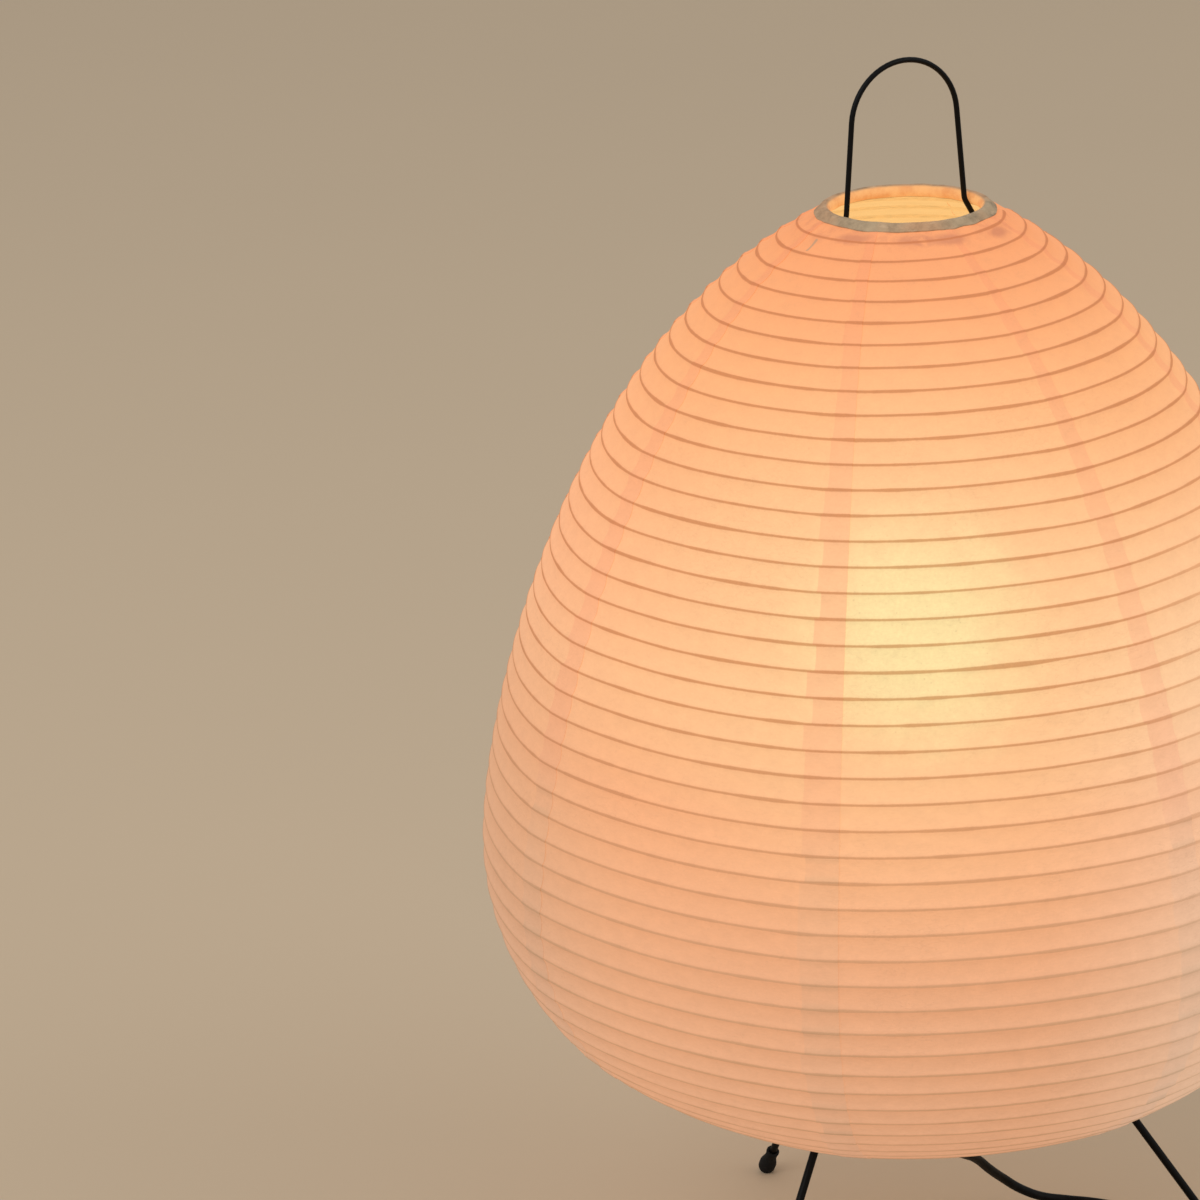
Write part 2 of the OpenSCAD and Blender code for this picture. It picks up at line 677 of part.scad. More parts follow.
// Rocker at rest: pressed down at the end that the lead from the lamp comes in at
module switch_rocker() {
  l = rocker_l / 2;
  tilt = rocker_rock / 2;
  rise = l * tan(tilt);
  on_switch() color([0.07, 0.07, 0.07])
    translate([0, 0, rocker_axis_z]) rotate([90, -tilt, 0]) {
      linear_extrude(rocker_w, center = true) polygon([
        [-l + 0.7, -1.2], [-2, -3.2], [2, -3.2], [l - 0.7, -1.2],
        [l - 0.5, 1.6 + rise], [0, 1.6], [-l + 0.5, 1.6 + rise]
      ]);
      cylinder(h = rocker_w + 2 * rocker_pin_l, d = rocker_pin_d, center = true);
    }
}
module switch_screws() {
  on_switch() color([0.7, 0.7, 0.72])
    for (side = [-1, 1]) translate([side * screw_at, 0, 0.4]) {
      cylinder(h = 1.6 - close_gap, d = 4.6);
      cylinder(h = split_z + 2.8, d = 2);
    }
}

// Flat two-pin plug, lying on the table
pin_spread = 18.6;
sleeve_len = 10;
sleeve_t = 0.3;
plug_body_l = 35;
plug_relief_l = 20;
module on_plug() {
  translate([plug_at[0], plug_at[1], plug_z]) rotate([0, 0, plug_turn]) children();
}
module plug_body() {
  l = plug_relief_l + plug_body_l;
  half_w = pin_spread / 2 + 3.8;
  neck_w = cord_r + 2.6;
  on_plug() color([0.05, 0.05, 0.05]) {
    intersection() {
      linear_extrude(plug_t, center = true)
        polygon([
          [plug_relief_l - 0.1, -neck_w], [plug_relief_l + 6, -neck_w - 1],
          [l - 20, -half_w + 3], [l - 14, -half_w + 0.6], [l - 6, -half_w],
          [l - 1, -half_w], [l, -half_w + 1], [l, half_w - 1], [l - 1, half_w],
          [l - 6, half_w], [l - 14, half_w - 0.6], [l - 20, half_w - 3],
          [plug_relief_l + 6, neck_w + 1], [plug_relief_l - 0.1, neck_w]
        ]);
      rotate([90, 0, 0]) linear_extrude(2 * half_w + 2, center = true)
        polygon([
          [plug_relief_l - 0.1, -neck_w], [plug_relief_l + 9, 1 - plug_t / 2],
          [plug_relief_l + 12, -plug_t / 2], [l - 1, -plug_t / 2], [l, 1 - plug_t / 2],
          [l, plug_t / 2 - 1], [l - 1, plug_t / 2], [plug_relief_l + 12, plug_t / 2],
          [plug_relief_l + 9, plug_t / 2 - 1], [plug_relief_l - 0.1, neck_w]
        ]);
    }
    rotate([0, 90, 0]) rotate_extrude() polygon([
      [0, 0], [cord_r + 0.6, 0], [cord_r + 0.9, 2.5], [neck_w - 0.4, plug_relief_l],
      [0, plug_relief_l]
    ]);
  }
}
module plug_pins() {
  core_r = pin_d / 2 - sleeve_t - fit_gap;
  on_plug() color([0.78, 0.72, 0.55])
    for (side = [-1, 1])
      translate([plug_relief_l + plug_body_l, side * pin_spread / 2, 0]) rotate([0, 90, 0])
        rotate_extrude() polygon([
          [0, 0], [core_r, 0], [core_r, sleeve_len + close_gap],
          [pin_d / 2, sleeve_len + close_gap], [pin_d / 2, pin_len - 1],
          [pin_d / 2 - 1, pin_len], [0, pin_len]
        ]);
}
module pin_sleeves() {
  on_plug() color([0.05, 0.05, 0.05])
    for (side = [-1, 1])
      translate([plug_relief_l + plug_body_l, side * pin_spread / 2, 0]) rotate([0, 90, 0])
        difference() {
          cylinder(h = sleeve_len, d = pin_d);
          translate([0, 0, -1]) cylinder(h = sleeve_len + 2, r = pin_d / 2 - sleeve_t);
        }
}

paper_gore(1);  // paper_gore_1
paper_gore(2);  // paper_gore_2
paper_gore(3);  // paper_gore_3
paper_gore(4);  // paper_gore_4
paper_gore(5);  // paper_gore_5
paper_gore(6);  // paper_gore_6
paper_gore(7);  // paper_gore_7
paper_gore(8);  // paper_gore_8
bamboo_rib();
top_hoop();
top_wrap();
bottom_hoop();
bottom_wrap();
stretcher_wire();
wire_sleeves();
hub_plate();
hub_nut();
nipple_tube();
leg(0);  // leg_front
leg(1);  // leg_right
leg(2);  // leg_rear
ring_hooks();
foot(0);  // foot_front
foot(1);  // foot_right
foot(2);  // foot_rear
holder_cap();
holder_insert();
holder_contact();
holder_shell();
holder_body();
bulb_contact();
bulb_insulator();
bulb_cap();
bulb_glass();
cord_relief();
cord_lead();
switch_base();
switch_cover();
switch_rocker();
switch_screws();
cord_tail();
cord_coil();
cord_tie();
cord_end();
plug_body();
plug_pins();
pin_sleeves();
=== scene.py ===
import math

import bpy
import numpy as np
from mathutils import Matrix, Vector, noise


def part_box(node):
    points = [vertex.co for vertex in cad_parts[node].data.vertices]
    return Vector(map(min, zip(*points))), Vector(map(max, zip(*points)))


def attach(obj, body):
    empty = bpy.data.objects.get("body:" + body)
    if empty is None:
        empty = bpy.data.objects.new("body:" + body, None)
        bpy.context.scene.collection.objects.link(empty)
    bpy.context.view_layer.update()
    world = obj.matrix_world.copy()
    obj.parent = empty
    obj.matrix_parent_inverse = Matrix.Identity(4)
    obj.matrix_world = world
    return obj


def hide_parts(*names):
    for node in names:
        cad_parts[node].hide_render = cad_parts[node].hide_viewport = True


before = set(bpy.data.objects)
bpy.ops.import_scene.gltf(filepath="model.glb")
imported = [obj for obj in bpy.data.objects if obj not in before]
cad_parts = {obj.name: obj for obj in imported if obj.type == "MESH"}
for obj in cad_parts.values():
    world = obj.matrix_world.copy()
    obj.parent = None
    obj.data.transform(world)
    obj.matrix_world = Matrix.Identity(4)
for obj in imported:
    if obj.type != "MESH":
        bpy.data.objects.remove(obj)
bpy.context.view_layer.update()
mm = 0.001
print("frame loaded:", len(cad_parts), "nodes")


# Camera at the photograph's place, tipped down and rolled a little
cameraSetup = {
    "place": (-0.0906, -1.14567, 0.63282),
    "pitch": 19.029,   # degrees below the horizon
    "roll": 2.290,     # degrees
    "lens": 124.94,    # mm
    "sensor": 36,      # mm
    "near": 0.05,
}


def addCamera(setup):
    pitch = math.radians(setup["pitch"])
    roll = math.radians(setup["roll"])
    side = Vector((1, 0, 0))
    up = Vector((0, math.sin(pitch), math.cos(pitch)))
    back = Vector((0, -math.cos(pitch), math.sin(pitch)))
    cameraSide = math.cos(roll) * side - math.sin(roll) * up
    cameraUp = math.sin(roll) * side + math.cos(roll) * up
    bpy.ops.object.camera_add(location=setup["place"])
    camera = bpy.context.object
    facing = Matrix((cameraSide, cameraUp, back)).transposed().to_4x4()
    camera.matrix_world = Matrix.Translation(setup["place"]) @ facing
    camera.data.sensor_width = setup["sensor"]
    camera.data.lens = setup["lens"]
    camera.data.clip_start = setup["near"]
    bpy.context.scene.camera = camera


addCamera(cameraSetup)
print("camera placed")


# Shader maths: a Link is a socket that takes part in sums, and a Finish is one material
class Link:
    def __init__(self, finish, socket):
        self.finish = finish
        self.socket = socket

    def maths(self, operation, *values):
        return self.finish.node("ShaderNodeMath", {"operation": operation}, values)

    def __add__(self, other):
        return self.maths("ADD", self, other)

    def __radd__(self, other):
        return self.maths("ADD", other, self)

    def __sub__(self, other):
        return self.maths("SUBTRACT", self, other)

    def __rsub__(self, other):
        return self.maths("SUBTRACT", other, self)

    def __mul__(self, other):
        return self.maths("MULTIPLY", self, other)

    def __rmul__(self, other):
        return self.maths("MULTIPLY", other, self)

    def __truediv__(self, other):
        return self.maths("DIVIDE", self, other)

    def fraction(self):
        return self.maths("FRACT", self)

    def whole(self):
        return self.maths("FLOOR", self)

    def away(self):
        return self.maths("ABSOLUTE", self)

    def least(self, other):
        return self.maths("MINIMUM", self, other)

    def most(self, other):
        return self.maths("MAXIMUM", self, other)

    def above(self, low, high):
        settings = {"interpolation_type": "SMOOTHSTEP", "clamp": True}
        return self.finish.node("ShaderNodeMapRange", settings, (self, low, high, 0.0, 1.0))


class Finish:
    def __init__(self, name, fixed):
        self.material = bpy.data.materials.new(name)
        self.material.use_nodes = True
        self.tree = self.material.node_tree
        self.shader = self.tree.nodes["Principled BSDF"]
        for socket, value in fixed.items():
            self.shader.inputs[socket].default_value = value

    def node(self, kind, settings, values, output=0):
        made = self.tree.nodes.new(kind)
        for key, value in settings.items():
            if key == "stops":
                while len(made.color_ramp.elements) < len(value):
                    made.color_ramp.elements.new(0.5)
                for stop, (at, colour) in zip(made.color_ramp.elements, value):
                    stop.position = at
                    stop.color = (*colour, 1)
            else:
                setattr(made, key, value)
        pairs = values.items() if isinstance(values, dict) else enumerate(values)
        for socket, value in pairs:
            if isinstance(value, Link):
                self.tree.links.new(value.socket, made.inputs[socket])
            elif isinstance(value, tuple) and len(value) == 3 and made.inputs[socket].type == "RGBA":
                made.inputs[socket].default_value = (*value, 1)
            else:
                made.inputs[socket].default_value = value
        return Link(self, made.outputs[output])

    def place(self):
        return self.node("ShaderNodeTexCoord", {}, {}, "Object")

    def parts(self, vector):
        split = self.node("ShaderNodeSeparateXYZ", {}, [vector])
        return [Link(self, socket) for socket in split.socket.node.outputs]

    def sheet(self):
        return self.parts(self.node("ShaderNodeUVMap", {"uv_map": "sheetMap"}, {}))[:2]

    def scaled(self, vector, size):
        return self.node("ShaderNodeVectorMath", {"operation": "MULTIPLY"}, [vector, size])

    def joined(self, x, y, z=0.0):
        return self.node("ShaderNodeCombineXYZ", {}, [x, y, z])

    def attribute(self, name):
        return self.node("ShaderNodeAttribute", {"attribute_name": name}, {}, "Fac")

    def offFrom(self, place, point):
        return self.node("ShaderNodeVectorMath", {"operation": "DISTANCE"}, [place, point], "Value")

    def offLine(self, place, first, last):
        # Distance from a straight line between two points
        along = Vector(last) - Vector(first)
        away = self.node("ShaderNodeVectorMath", {"operation": "SUBTRACT"}, [place, first])
        scaled = tuple(along / along.length_squared)
        share = self.node("ShaderNodeVectorMath", {"operation": "DOT_PRODUCT"},
                          [away, scaled], "Value")
        share = share.most(0.0).least(1.0)
        foot = self.node("ShaderNodeVectorMath", {"operation": "SCALE"}, {0: tuple(along), 3: share})
        return self.offFrom(away, foot)

    def clouds(self, vector, scale, detail=3.0, rough=0.5):
        values = {"Vector": vector, "Scale": scale, "Detail": detail, "Roughness": rough}
        return self.node("ShaderNodeTexNoise", {}, values, "Fac")

    def cells(self, vector, scale):
        return self.node("ShaderNodeTexVoronoi", {}, {"Vector": vector, "Scale": scale}, "Distance")

    def blend(self, share, first, second, way="MIX"):
        settings = {"data_type": "RGBA", "blend_type": way}
        return self.node("ShaderNodeMix", settings, {0: share, 6: first, 7: second}, 2)

    def tinted(self, colour, share, tint):
        # Multiplied by the tint where share is 1, and left as it is where share is 0
        return self.blend(1.0, colour, self.blend(share, (1, 1, 1), tint), "MULTIPLY")

    def dimmed(self, colour, share):
        return self.node("ShaderNodeVectorMath", {"operation": "SCALE"}, {0: colour, 3: share})

    def bump(self, height, strength, distance):
        values = {"Strength": strength, "Distance": distance, "Height": height}
        return self.node("ShaderNodeBump", {}, values)

    def wire(self, **links):
        names = {"colour": "Base Color", "rough": "Roughness", "glow": "Emission Color",
                 "normal": "Normal"}
        for name, link in links.items():
            self.tree.links.new(link.socket, self.shader.inputs[names[name]])
        return self.material


# Modelling helpers, each one a few operators
weld = 1e-6   # metres between two points that count as one


def freshStart():
    if bpy.context.object and bpy.context.object.mode != "OBJECT":
        bpy.ops.object.mode_set(mode="OBJECT")
    bpy.ops.object.select_all(action="DESELECT")


def named(name):
    piece = bpy.context.object
    piece.name = name
    piece.data.name = name
    bpy.ops.object.transform_apply(location=True, rotation=True, scale=True)
    return piece


def edit():
    bpy.ops.object.mode_set(mode="EDIT")
    bpy.ops.mesh.select_mode(type="VERT")
    bpy.ops.mesh.select_all(action="SELECT")


def leaveEdit():
    bpy.ops.object.mode_set(mode="OBJECT")


def pick(piece, kind, rule):
    # Selects the vertices, edges or faces for which rule is true, and nothing else
    bpy.ops.object.mode_set(mode="EDIT")
    bpy.ops.mesh.select_mode(type={"vertices": "VERT", "edges": "EDGE", "polygons": "FACE"}[kind])
    bpy.ops.mesh.select_all(action="DESELECT")
    bpy.ops.object.mode_set(mode="OBJECT")
    for item in getattr(piece.data, kind):
        item.select = bool(rule(item))
    bpy.ops.object.mode_set(mode="EDIT")


def reshape(piece, rule):
    points = np.empty(len(piece.data.vertices) * 3)
    piece.data.vertices.foreach_get("co", points)
    points = rule(points.reshape(-1, 3))
    piece.data.vertices.foreach_set("co", points.ravel())
    piece.data.update()


def applied(piece, kind, **settings):
    modifier = piece.modifiers.new(kind, kind)
    for key, value in settings.items():
        setattr(modifier, key, value)
    bpy.context.view_layer.objects.active = piece
    bpy.ops.object.modifier_apply(modifier=modifier.name)


def outward():
    # Joins doubles, turns all faces outwards and leaves edit mode
    bpy.ops.mesh.select_all(action="SELECT")
    bpy.ops.mesh.remove_doubles(threshold=weld)
    bpy.ops.mesh.normals_make_consistent(inside=False)
    leaveEdit()


def drawn(name, points):
    # A line of edges through the points, extruded from one vertex
    freshStart()
    bpy.ops.mesh.primitive_plane_add(size=mm, location=points[0])
    piece = named(name)
    edit()
    bpy.ops.mesh.merge(type="CENTER")
    for before, after in zip(points, points[1:]):
        step = [b - a for a, b in zip(before, after)]
        bpy.ops.mesh.extrude_region_move(TRANSFORM_OT_translate={"value": step})
    return piece


def turned(name, profile, steps=64):
    # A profile of (radius, height) spun about the Z axis
    piece = drawn(name, [(r, 0, z) for r, z in profile])
    bpy.ops.mesh.select_all(action="SELECT")
    bpy.ops.mesh.spin(steps=steps, angle=2 * math.pi, center=(0, 0, 0), axis=(0, 0, 1))
    outward()
    return piece


def prism(name, outline, low, high):
    # An outline in the XY plane, filled and pulled up
    piece = drawn(name, [(x, y, low) for x, y in outline])
    bpy.ops.mesh.select_all(action="SELECT")
    bpy.ops.mesh.edge_face_add()
    bpy.ops.mesh.extrude_region_move(TRANSFORM_OT_translate={"value": (0, 0, high - low)})
    outward()
    return piece


def wound(name, across, along, rule, closed=True):
    # A grid whose points are placed by rule(u, v), with u and v from 0 to 1, and u going round
    freshStart()
    bpy.ops.mesh.primitive_grid_add(x_subdivisions=across, y_subdivisions=along, size=1)
    piece = named(name)
    reshape(piece, lambda p: rule(p[:, 0] + 0.5, p[:, 1] + 0.5))
    edit()
    if closed:
        outward()
    else:
        leaveEdit()
    return piece


def copied(piece, name):
    # A second one, with a mesh of its own
    freshStart()
    piece.select_set(True)
    bpy.context.view_layer.objects.active = piece
    bpy.ops.object.duplicate()
    return named(name)


def around(radius, angle, height):
    # Points at an angle in radians round the Z axis
    return np.stack((radius * np.cos(angle), radius * np.sin(angle), height), axis=1)


def spun(points, degrees):
    # The points turned about the Z axis
    c, s = math.cos(math.radians(degrees)), math.sin(math.radians(degrees))
    x, y, z = points.T
    return np.stack((c * x - s * y, s * x + c * y, z), axis=1)


def rod(radius, depth, steps, place, tilt=0):
    freshStart()
    bpy.ops.mesh.primitive_cylinder_add(vertices=steps, radius=radius, depth=depth,
                                        location=place, rotation=(tilt, 0, 0))
    return named("cutter")


def cut(piece, cutter):
    applied(piece, "BOOLEAN", object=cutter, operation="DIFFERENCE", solver="EXACT")
    bpy.data.objects.remove(cutter)


def rounded(piece, width, segments=3, angle=30):
    applied(piece, "BEVEL", width=width, segments=segments, limit_method="ANGLE",
            angle_limit=math.radians(angle), harden_normals=False)


def finished(piece, material, body="root", replaced=(), smooth=40):
    freshStart()
    piece.select_set(True)
    bpy.context.view_layer.objects.active = piece
    if piece.type == "MESH" and smooth:
        bpy.ops.object.shade_smooth_by_angle(angle=math.radians(smooth))
    piece.data.materials.clear()
    piece.data.materials.append(material)
    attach(piece, body)
    if replaced:
        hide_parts(*replaced)
    return piece


# The cord, one free length from the strain relief through the switch and the coil to the plug
cordFacts = {
    "diameter": 3 * mm,
    "length": 1.85,
    "exit": (0, 0, 0.082),
}
coil = {
    "centre": (-0.012, -0.0605),
    "inner": 0.0125,
    "outer": 0.0235,
    "layers": 4,
    "layerTurns": 2.75,
    "climbTurns": 0.5,
    "rise": 0.0036,
    "low": 0.0023,
    "perTurn": 24,
}
leadRoute = [
    (0, 0, 0.082), (0, 0, 0.075), (0.001, 0.002, 0.067), (0.003, 0.007, 0.059),
    (0.007, 0.015, 0.051), (0.012, 0.025, 0.043), (0.017, 0.036, 0.036), (0.022, 0.046, 0.029),
    (0.027, 0.054, 0.021), (0.032, 0.061, 0.014), (0.038, 0.065, 0.008), (0.045, 0.067, 0.004),
    (0.053, 0.068, 0.002), (0.062, 0.066, 0.0016), (0.07, 0.062, 0.0016), (0.078, 0.056, 0.0016),
    (0.085, 0.048, 0.0016), (0.09, 0.039, 0.0016), (0.093, 0.029, 0.0016), (0.094, 0.019, 0.0016),
    (0.093, 0.009, 0.0017), (0.091, 0, 0.0022), (0.088, -0.008, 0.0034), (0.0845, -0.014, 0.0046),
    (0.081, -0.02, 0.005),
]
tailRoute = [
    (0.051, -0.072, 0.005), (0.048, -0.0772, 0.0048), (0.044, -0.081, 0.004),
    (0.039, -0.0836, 0.003), (0.033, -0.085, 0.0021), (0.026, -0.0854, 0.0016),
    (0.018, -0.085, 0.0016), (0.01, -0.0844, 0.0018), (0.003, -0.084, 0.0021),
    (-0.004, -0.084, 0.0023), (-0.009, -0.084, 0.0023),
]
endRoute = [
    (-0.009, -0.037, 0.0131), (-0.002, -0.037, 0.0124), (0.004, -0.037, 0.0106),
    (0.0105, -0.0368, 0.0083), (0.0178, -0.0346, 0.0058), (0.0234, -0.0292, 0.0038),
    (0.0255, -0.0215, 0.0023), (0.0234, -0.0138, 0.0018), (0.0178, -0.0084, 0.0026),
    (0.0105, -0.0062, 0.0046), (0.005, -0.006, 0.0064), (0.0003, -0.006, 0.007),
    (-0.0025, -0.006, 0.007),   # inside the plug
]
switchMiddle = [(0.066, -0.046, 0.005)]


def coilPoint(turn):
    span = coil["layerTurns"] + coil["climbTurns"]
    layer = min(math.floor(turn / span), coil["layers"] - 1)
    inLayer = turn - layer * span
    run = min(inLayer / coil["layerTurns"], 1)
    climb = max(inLayer - coil["layerTurns"], 0) / coil["climbTurns"]
    wide = coil["outer"] - coil["inner"]
    radius = coil["outer"] - wide * run if layer % 2 == 0 else coil["inner"] + wide * run
    angle = -math.pi / 2 - 2 * math.pi * turn
    return (coil["centre"][0] + radius * math.cos(angle),
            coil["centre"][1] + radius * math.sin(angle),
            coil["low"] + coil["rise"] * (layer + climb))


def cordRoute():
    turns = coil["layers"] * (coil["layerTurns"] + coil["climbTurns"]) - coil["climbTurns"]
    count = round(turns * coil["perTurn"])
    coiled = [coilPoint(step / coil["perTurn"]) for step in range(count + 1)]
    return leadRoute + switchMiddle + tailRoute + coiled + endRoute


def cordFinish():
    look = Finish("cordJacket", {"Specular IOR Level": 0.10})
    place = look.place()
    dust = look.clouds(place, 260.0, 4.0)
    drag = look.clouds(look.scaled(place, (1, 1, 3)), 900.0, 2.0)
    colour = look.blend(dust.above(0.45, 0.75), (0.0030, 0.0029, 0.0028), (0.009, 0.0085, 0.008))
    normal = look.bump(drag, 0.25, 0.1 * mm)
    return look.wire(colour=colour, rough=0.44 + 0.20 * dust, normal=normal)


def addCord():
    freshStart()
    bpy.ops.curve.primitive_bezier_curve_add()
    flex = bpy.context.object
    flex.name = "flex"
    route = cordRoute()
    spline = flex.data.splines[0]
    spline.bezier_points.add(len(route) - len(spline.bezier_points))
    for point, where in zip(spline.bezier_points, route):
        point.co = where
        point.handle_left_type = "AUTO"
        point.handle_right_type = "AUTO"
        point.radius = 1
    flex.data.resolution_u = 5
    flex.data.bevel_depth = cordFacts["diameter"] / 2
    flex.data.bevel_resolution = 3
    flex.data.use_fill_caps = True
    return finished(flex, cordFinish(),
                    replaced=("cord_lead", "cord_tail", "cord_coil", "cord_end"))


flex = addCord()
print("cord laid:", len(cordRoute()), "points")


# The shade's profile, from the top ring over the belly to the bottom ring
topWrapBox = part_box("top_wrap")
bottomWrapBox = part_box("bottom_wrap")
shade = {
    "seat": 0.3 * mm,            # gap between a ring and the edge of the paper
    "bellyRadius": 129.5 * mm,
    "bellyHeight": 163 * mm,
    "topSlope": 28,              # degrees
    "topReach": 89 * mm,
    "upperReach": 30 * mm,
    "lowerReach": 27 * mm,
    "underReach": 56 * mm,
    "underSlope": 12,            # degrees
    "gores": 8,
    "seamTurn": 251.9,           # degrees, where the first gore begins
    "seamShift": (0, 2.6, -0.8, 1.2, 0.4, -1.0, 0.7, -0.4),   # degrees, laid by hand
    "lap": 4.4,                  # degrees that a sheet laps over the next
    "ribPitch": 7.07 * mm,
    "ribMargin": 3 * mm,
    "ribTurns": 46,
    "ribStart": 359,             # degrees
    "flatness": 0.164,           # share of the way from round to eight-sided
    "soft": 2.6,                 # degrees over which the sheets turn at a seam
    "drift": (-0.4, -8.5),       # degrees that all seams are off, and that they lean by at the top
    "driftReach": 45 * mm,
    "sheet": 0.15 * mm,
}
goreAngle = 360 / shade["gores"]
seamAngles = [k * goreAngle + shift for k, shift in enumerate(shade["seamShift"])] + [360]
topHeight = (topWrapBox[0].z + topWrapBox[1].z) / 2
bottomHeight = (bottomWrapBox[0].z + bottomWrapBox[1].z) / 2


def bezier(points, count):
    t = np.linspace(0, 1, count)[:, None]
    a, b, c, d = (np.array(p) for p in points)
    return (1 - t) ** 3 * a + 3 * t * (1 - t) ** 2 * b + 3 * t ** 2 * (1 - t) * c + t ** 3 * d


def shadeProfile(count=200):
    top = np.array((topWrapBox[1].x + shade["seat"], topHeight))
    end = np.array((bottomWrapBox[1].x + shade["seat"], bottomHeight))
    belly = np.array((shade["bellyRadius"], shade["bellyHeight"]))
    down = math.radians(shade["topSlope"])
    under = math.radians(shade["underSlope"])
    upper = bezier((
        top,
        top + shade["topReach"] * np.array((math.cos(down), -math.sin(down))),
        belly + np.array((0, shade["upperReach"])),
        belly,
    ), count)
    lower = bezier((
        belly,
        belly - np.array((0, shade["lowerReach"])),
        end + shade["underReach"] * np.array((math.cos(under), math.sin(under))),
        end,
    ), count)
    return np.concatenate((upper, lower[1:]))


profile = shadeProfile()
profileRun = np.concatenate(([0], np.cumsum(np.linalg.norm(np.diff(profile, axis=0), axis=1))))
profileWay = np.gradient(profile, axis=0)
profileWay /= np.linalg.norm(profileWay, axis=1)[:, None]
shadeRun = profileRun[-1]


def onProfile(run):
    # Radius, height and outward normal at a distance run down the profile
    radius = np.interp(run, profileRun, profile[:, 0])
    height = np.interp(run, profileRun, profile[:, 1])
    alongR = np.interp(run, profileRun, profileWay[:, 0])
    alongZ = np.interp(run, profileRun, profileWay[:, 1])
    return radius, height, -alongZ, alongR


def seamDrift(run):
    # Degrees that the seams wander, most of all near the top ring
    steady, lean = shade["drift"]
    return steady + lean * np.exp(-run / shade["driftReach"])


def goreAt(angle, run):
    # Counts gores round the shade: whole on a seam
    fromFirst = (angle - shade["seamTurn"] - seamDrift(run)) % 360
    return np.interp(fromFirst, seamAngles, range(len(seamAngles)))


def seamAt(count, run):
    # The angle of a place that is counted in gores, the other way round
    whole = np.floor(count / shade["gores"])
    inTurn = count - whole * shade["gores"]
    fromFirst = np.interp(inTurn, range(len(seamAngles)), seamAngles) + whole * 360
    return fromFirst + shade["seamTurn"] + seamDrift(run)


def ripple(points, size, seed):
    shift = Vector((seed, seed * 1.7, -seed))
    return np.array([noise.noise(Vector(p) / size + shift) for p in points])


def onShade(angle, run, lift):
    # Points on the paper at an angle in degrees and a distance run, lifted off it outwards
    radius, height, outR, outZ = onProfile(run)
    inGore = np.abs(goreAt(angle, run) % 1 - 0.5) * goreAngle
    half = goreAngle / 2
    inGore = half - np.sqrt((half - inGore) ** 2 + shade["soft"] ** 2)
    facet = 1 - math.cos(math.radians(half)) / np.cos(np.radians(inGore))
    radius = radius * (1 - shade["flatness"] * facet) + lift * outR
    height = height + lift * outZ
    return around(radius, np.radians(angle), height)


paper = {
    "columns": 26,        # across a gore
    "rowsPerRib": 8,
    "sag": 0.5 * mm,      # dip of the paper between two ribs
    "ridge": 0.22 * mm,   # swell over a rib
    "ridgeWide": 0.9 * mm,
    "lapLift": 0.17 * mm,
    "lapFrom": 0.986,     # share of a gore's width at which the lap begins to rise
    "crumple": 0.22 * mm,
    "crumpleSize": (9 * mm, 3.1 * mm),
    "taut": 12 * mm,      # how far a ring holds the paper taut
}


def goreColumns():
    main = np.linspace(0, 0.985, paper["columns"])
    edge = 1 + shade["lap"] / goreAngle
    return np.concatenate((main, [0.993], np.linspace(1.0, edge, 5)))


def markInside(piece):
    # An attribute that tells the inner face of the sheet from the outer one
    count = len(piece.data.vertices)
    points, normals = np.empty(count * 3), np.empty(count * 3)
    piece.data.vertices.foreach_get("co", points)
    piece.data.vertices.foreach_get("normal", normals)
    outwards = points.reshape(-1, 3) - (0, 0, shade["bellyHeight"])
    inside = (np.sum(outwards * normals.reshape(-1, 3), axis=1) < 0).astype(float)
    attribute = piece.data.attributes.new("inside", "FLOAT", "POINT")
    attribute.data.foreach_set("value", inside)


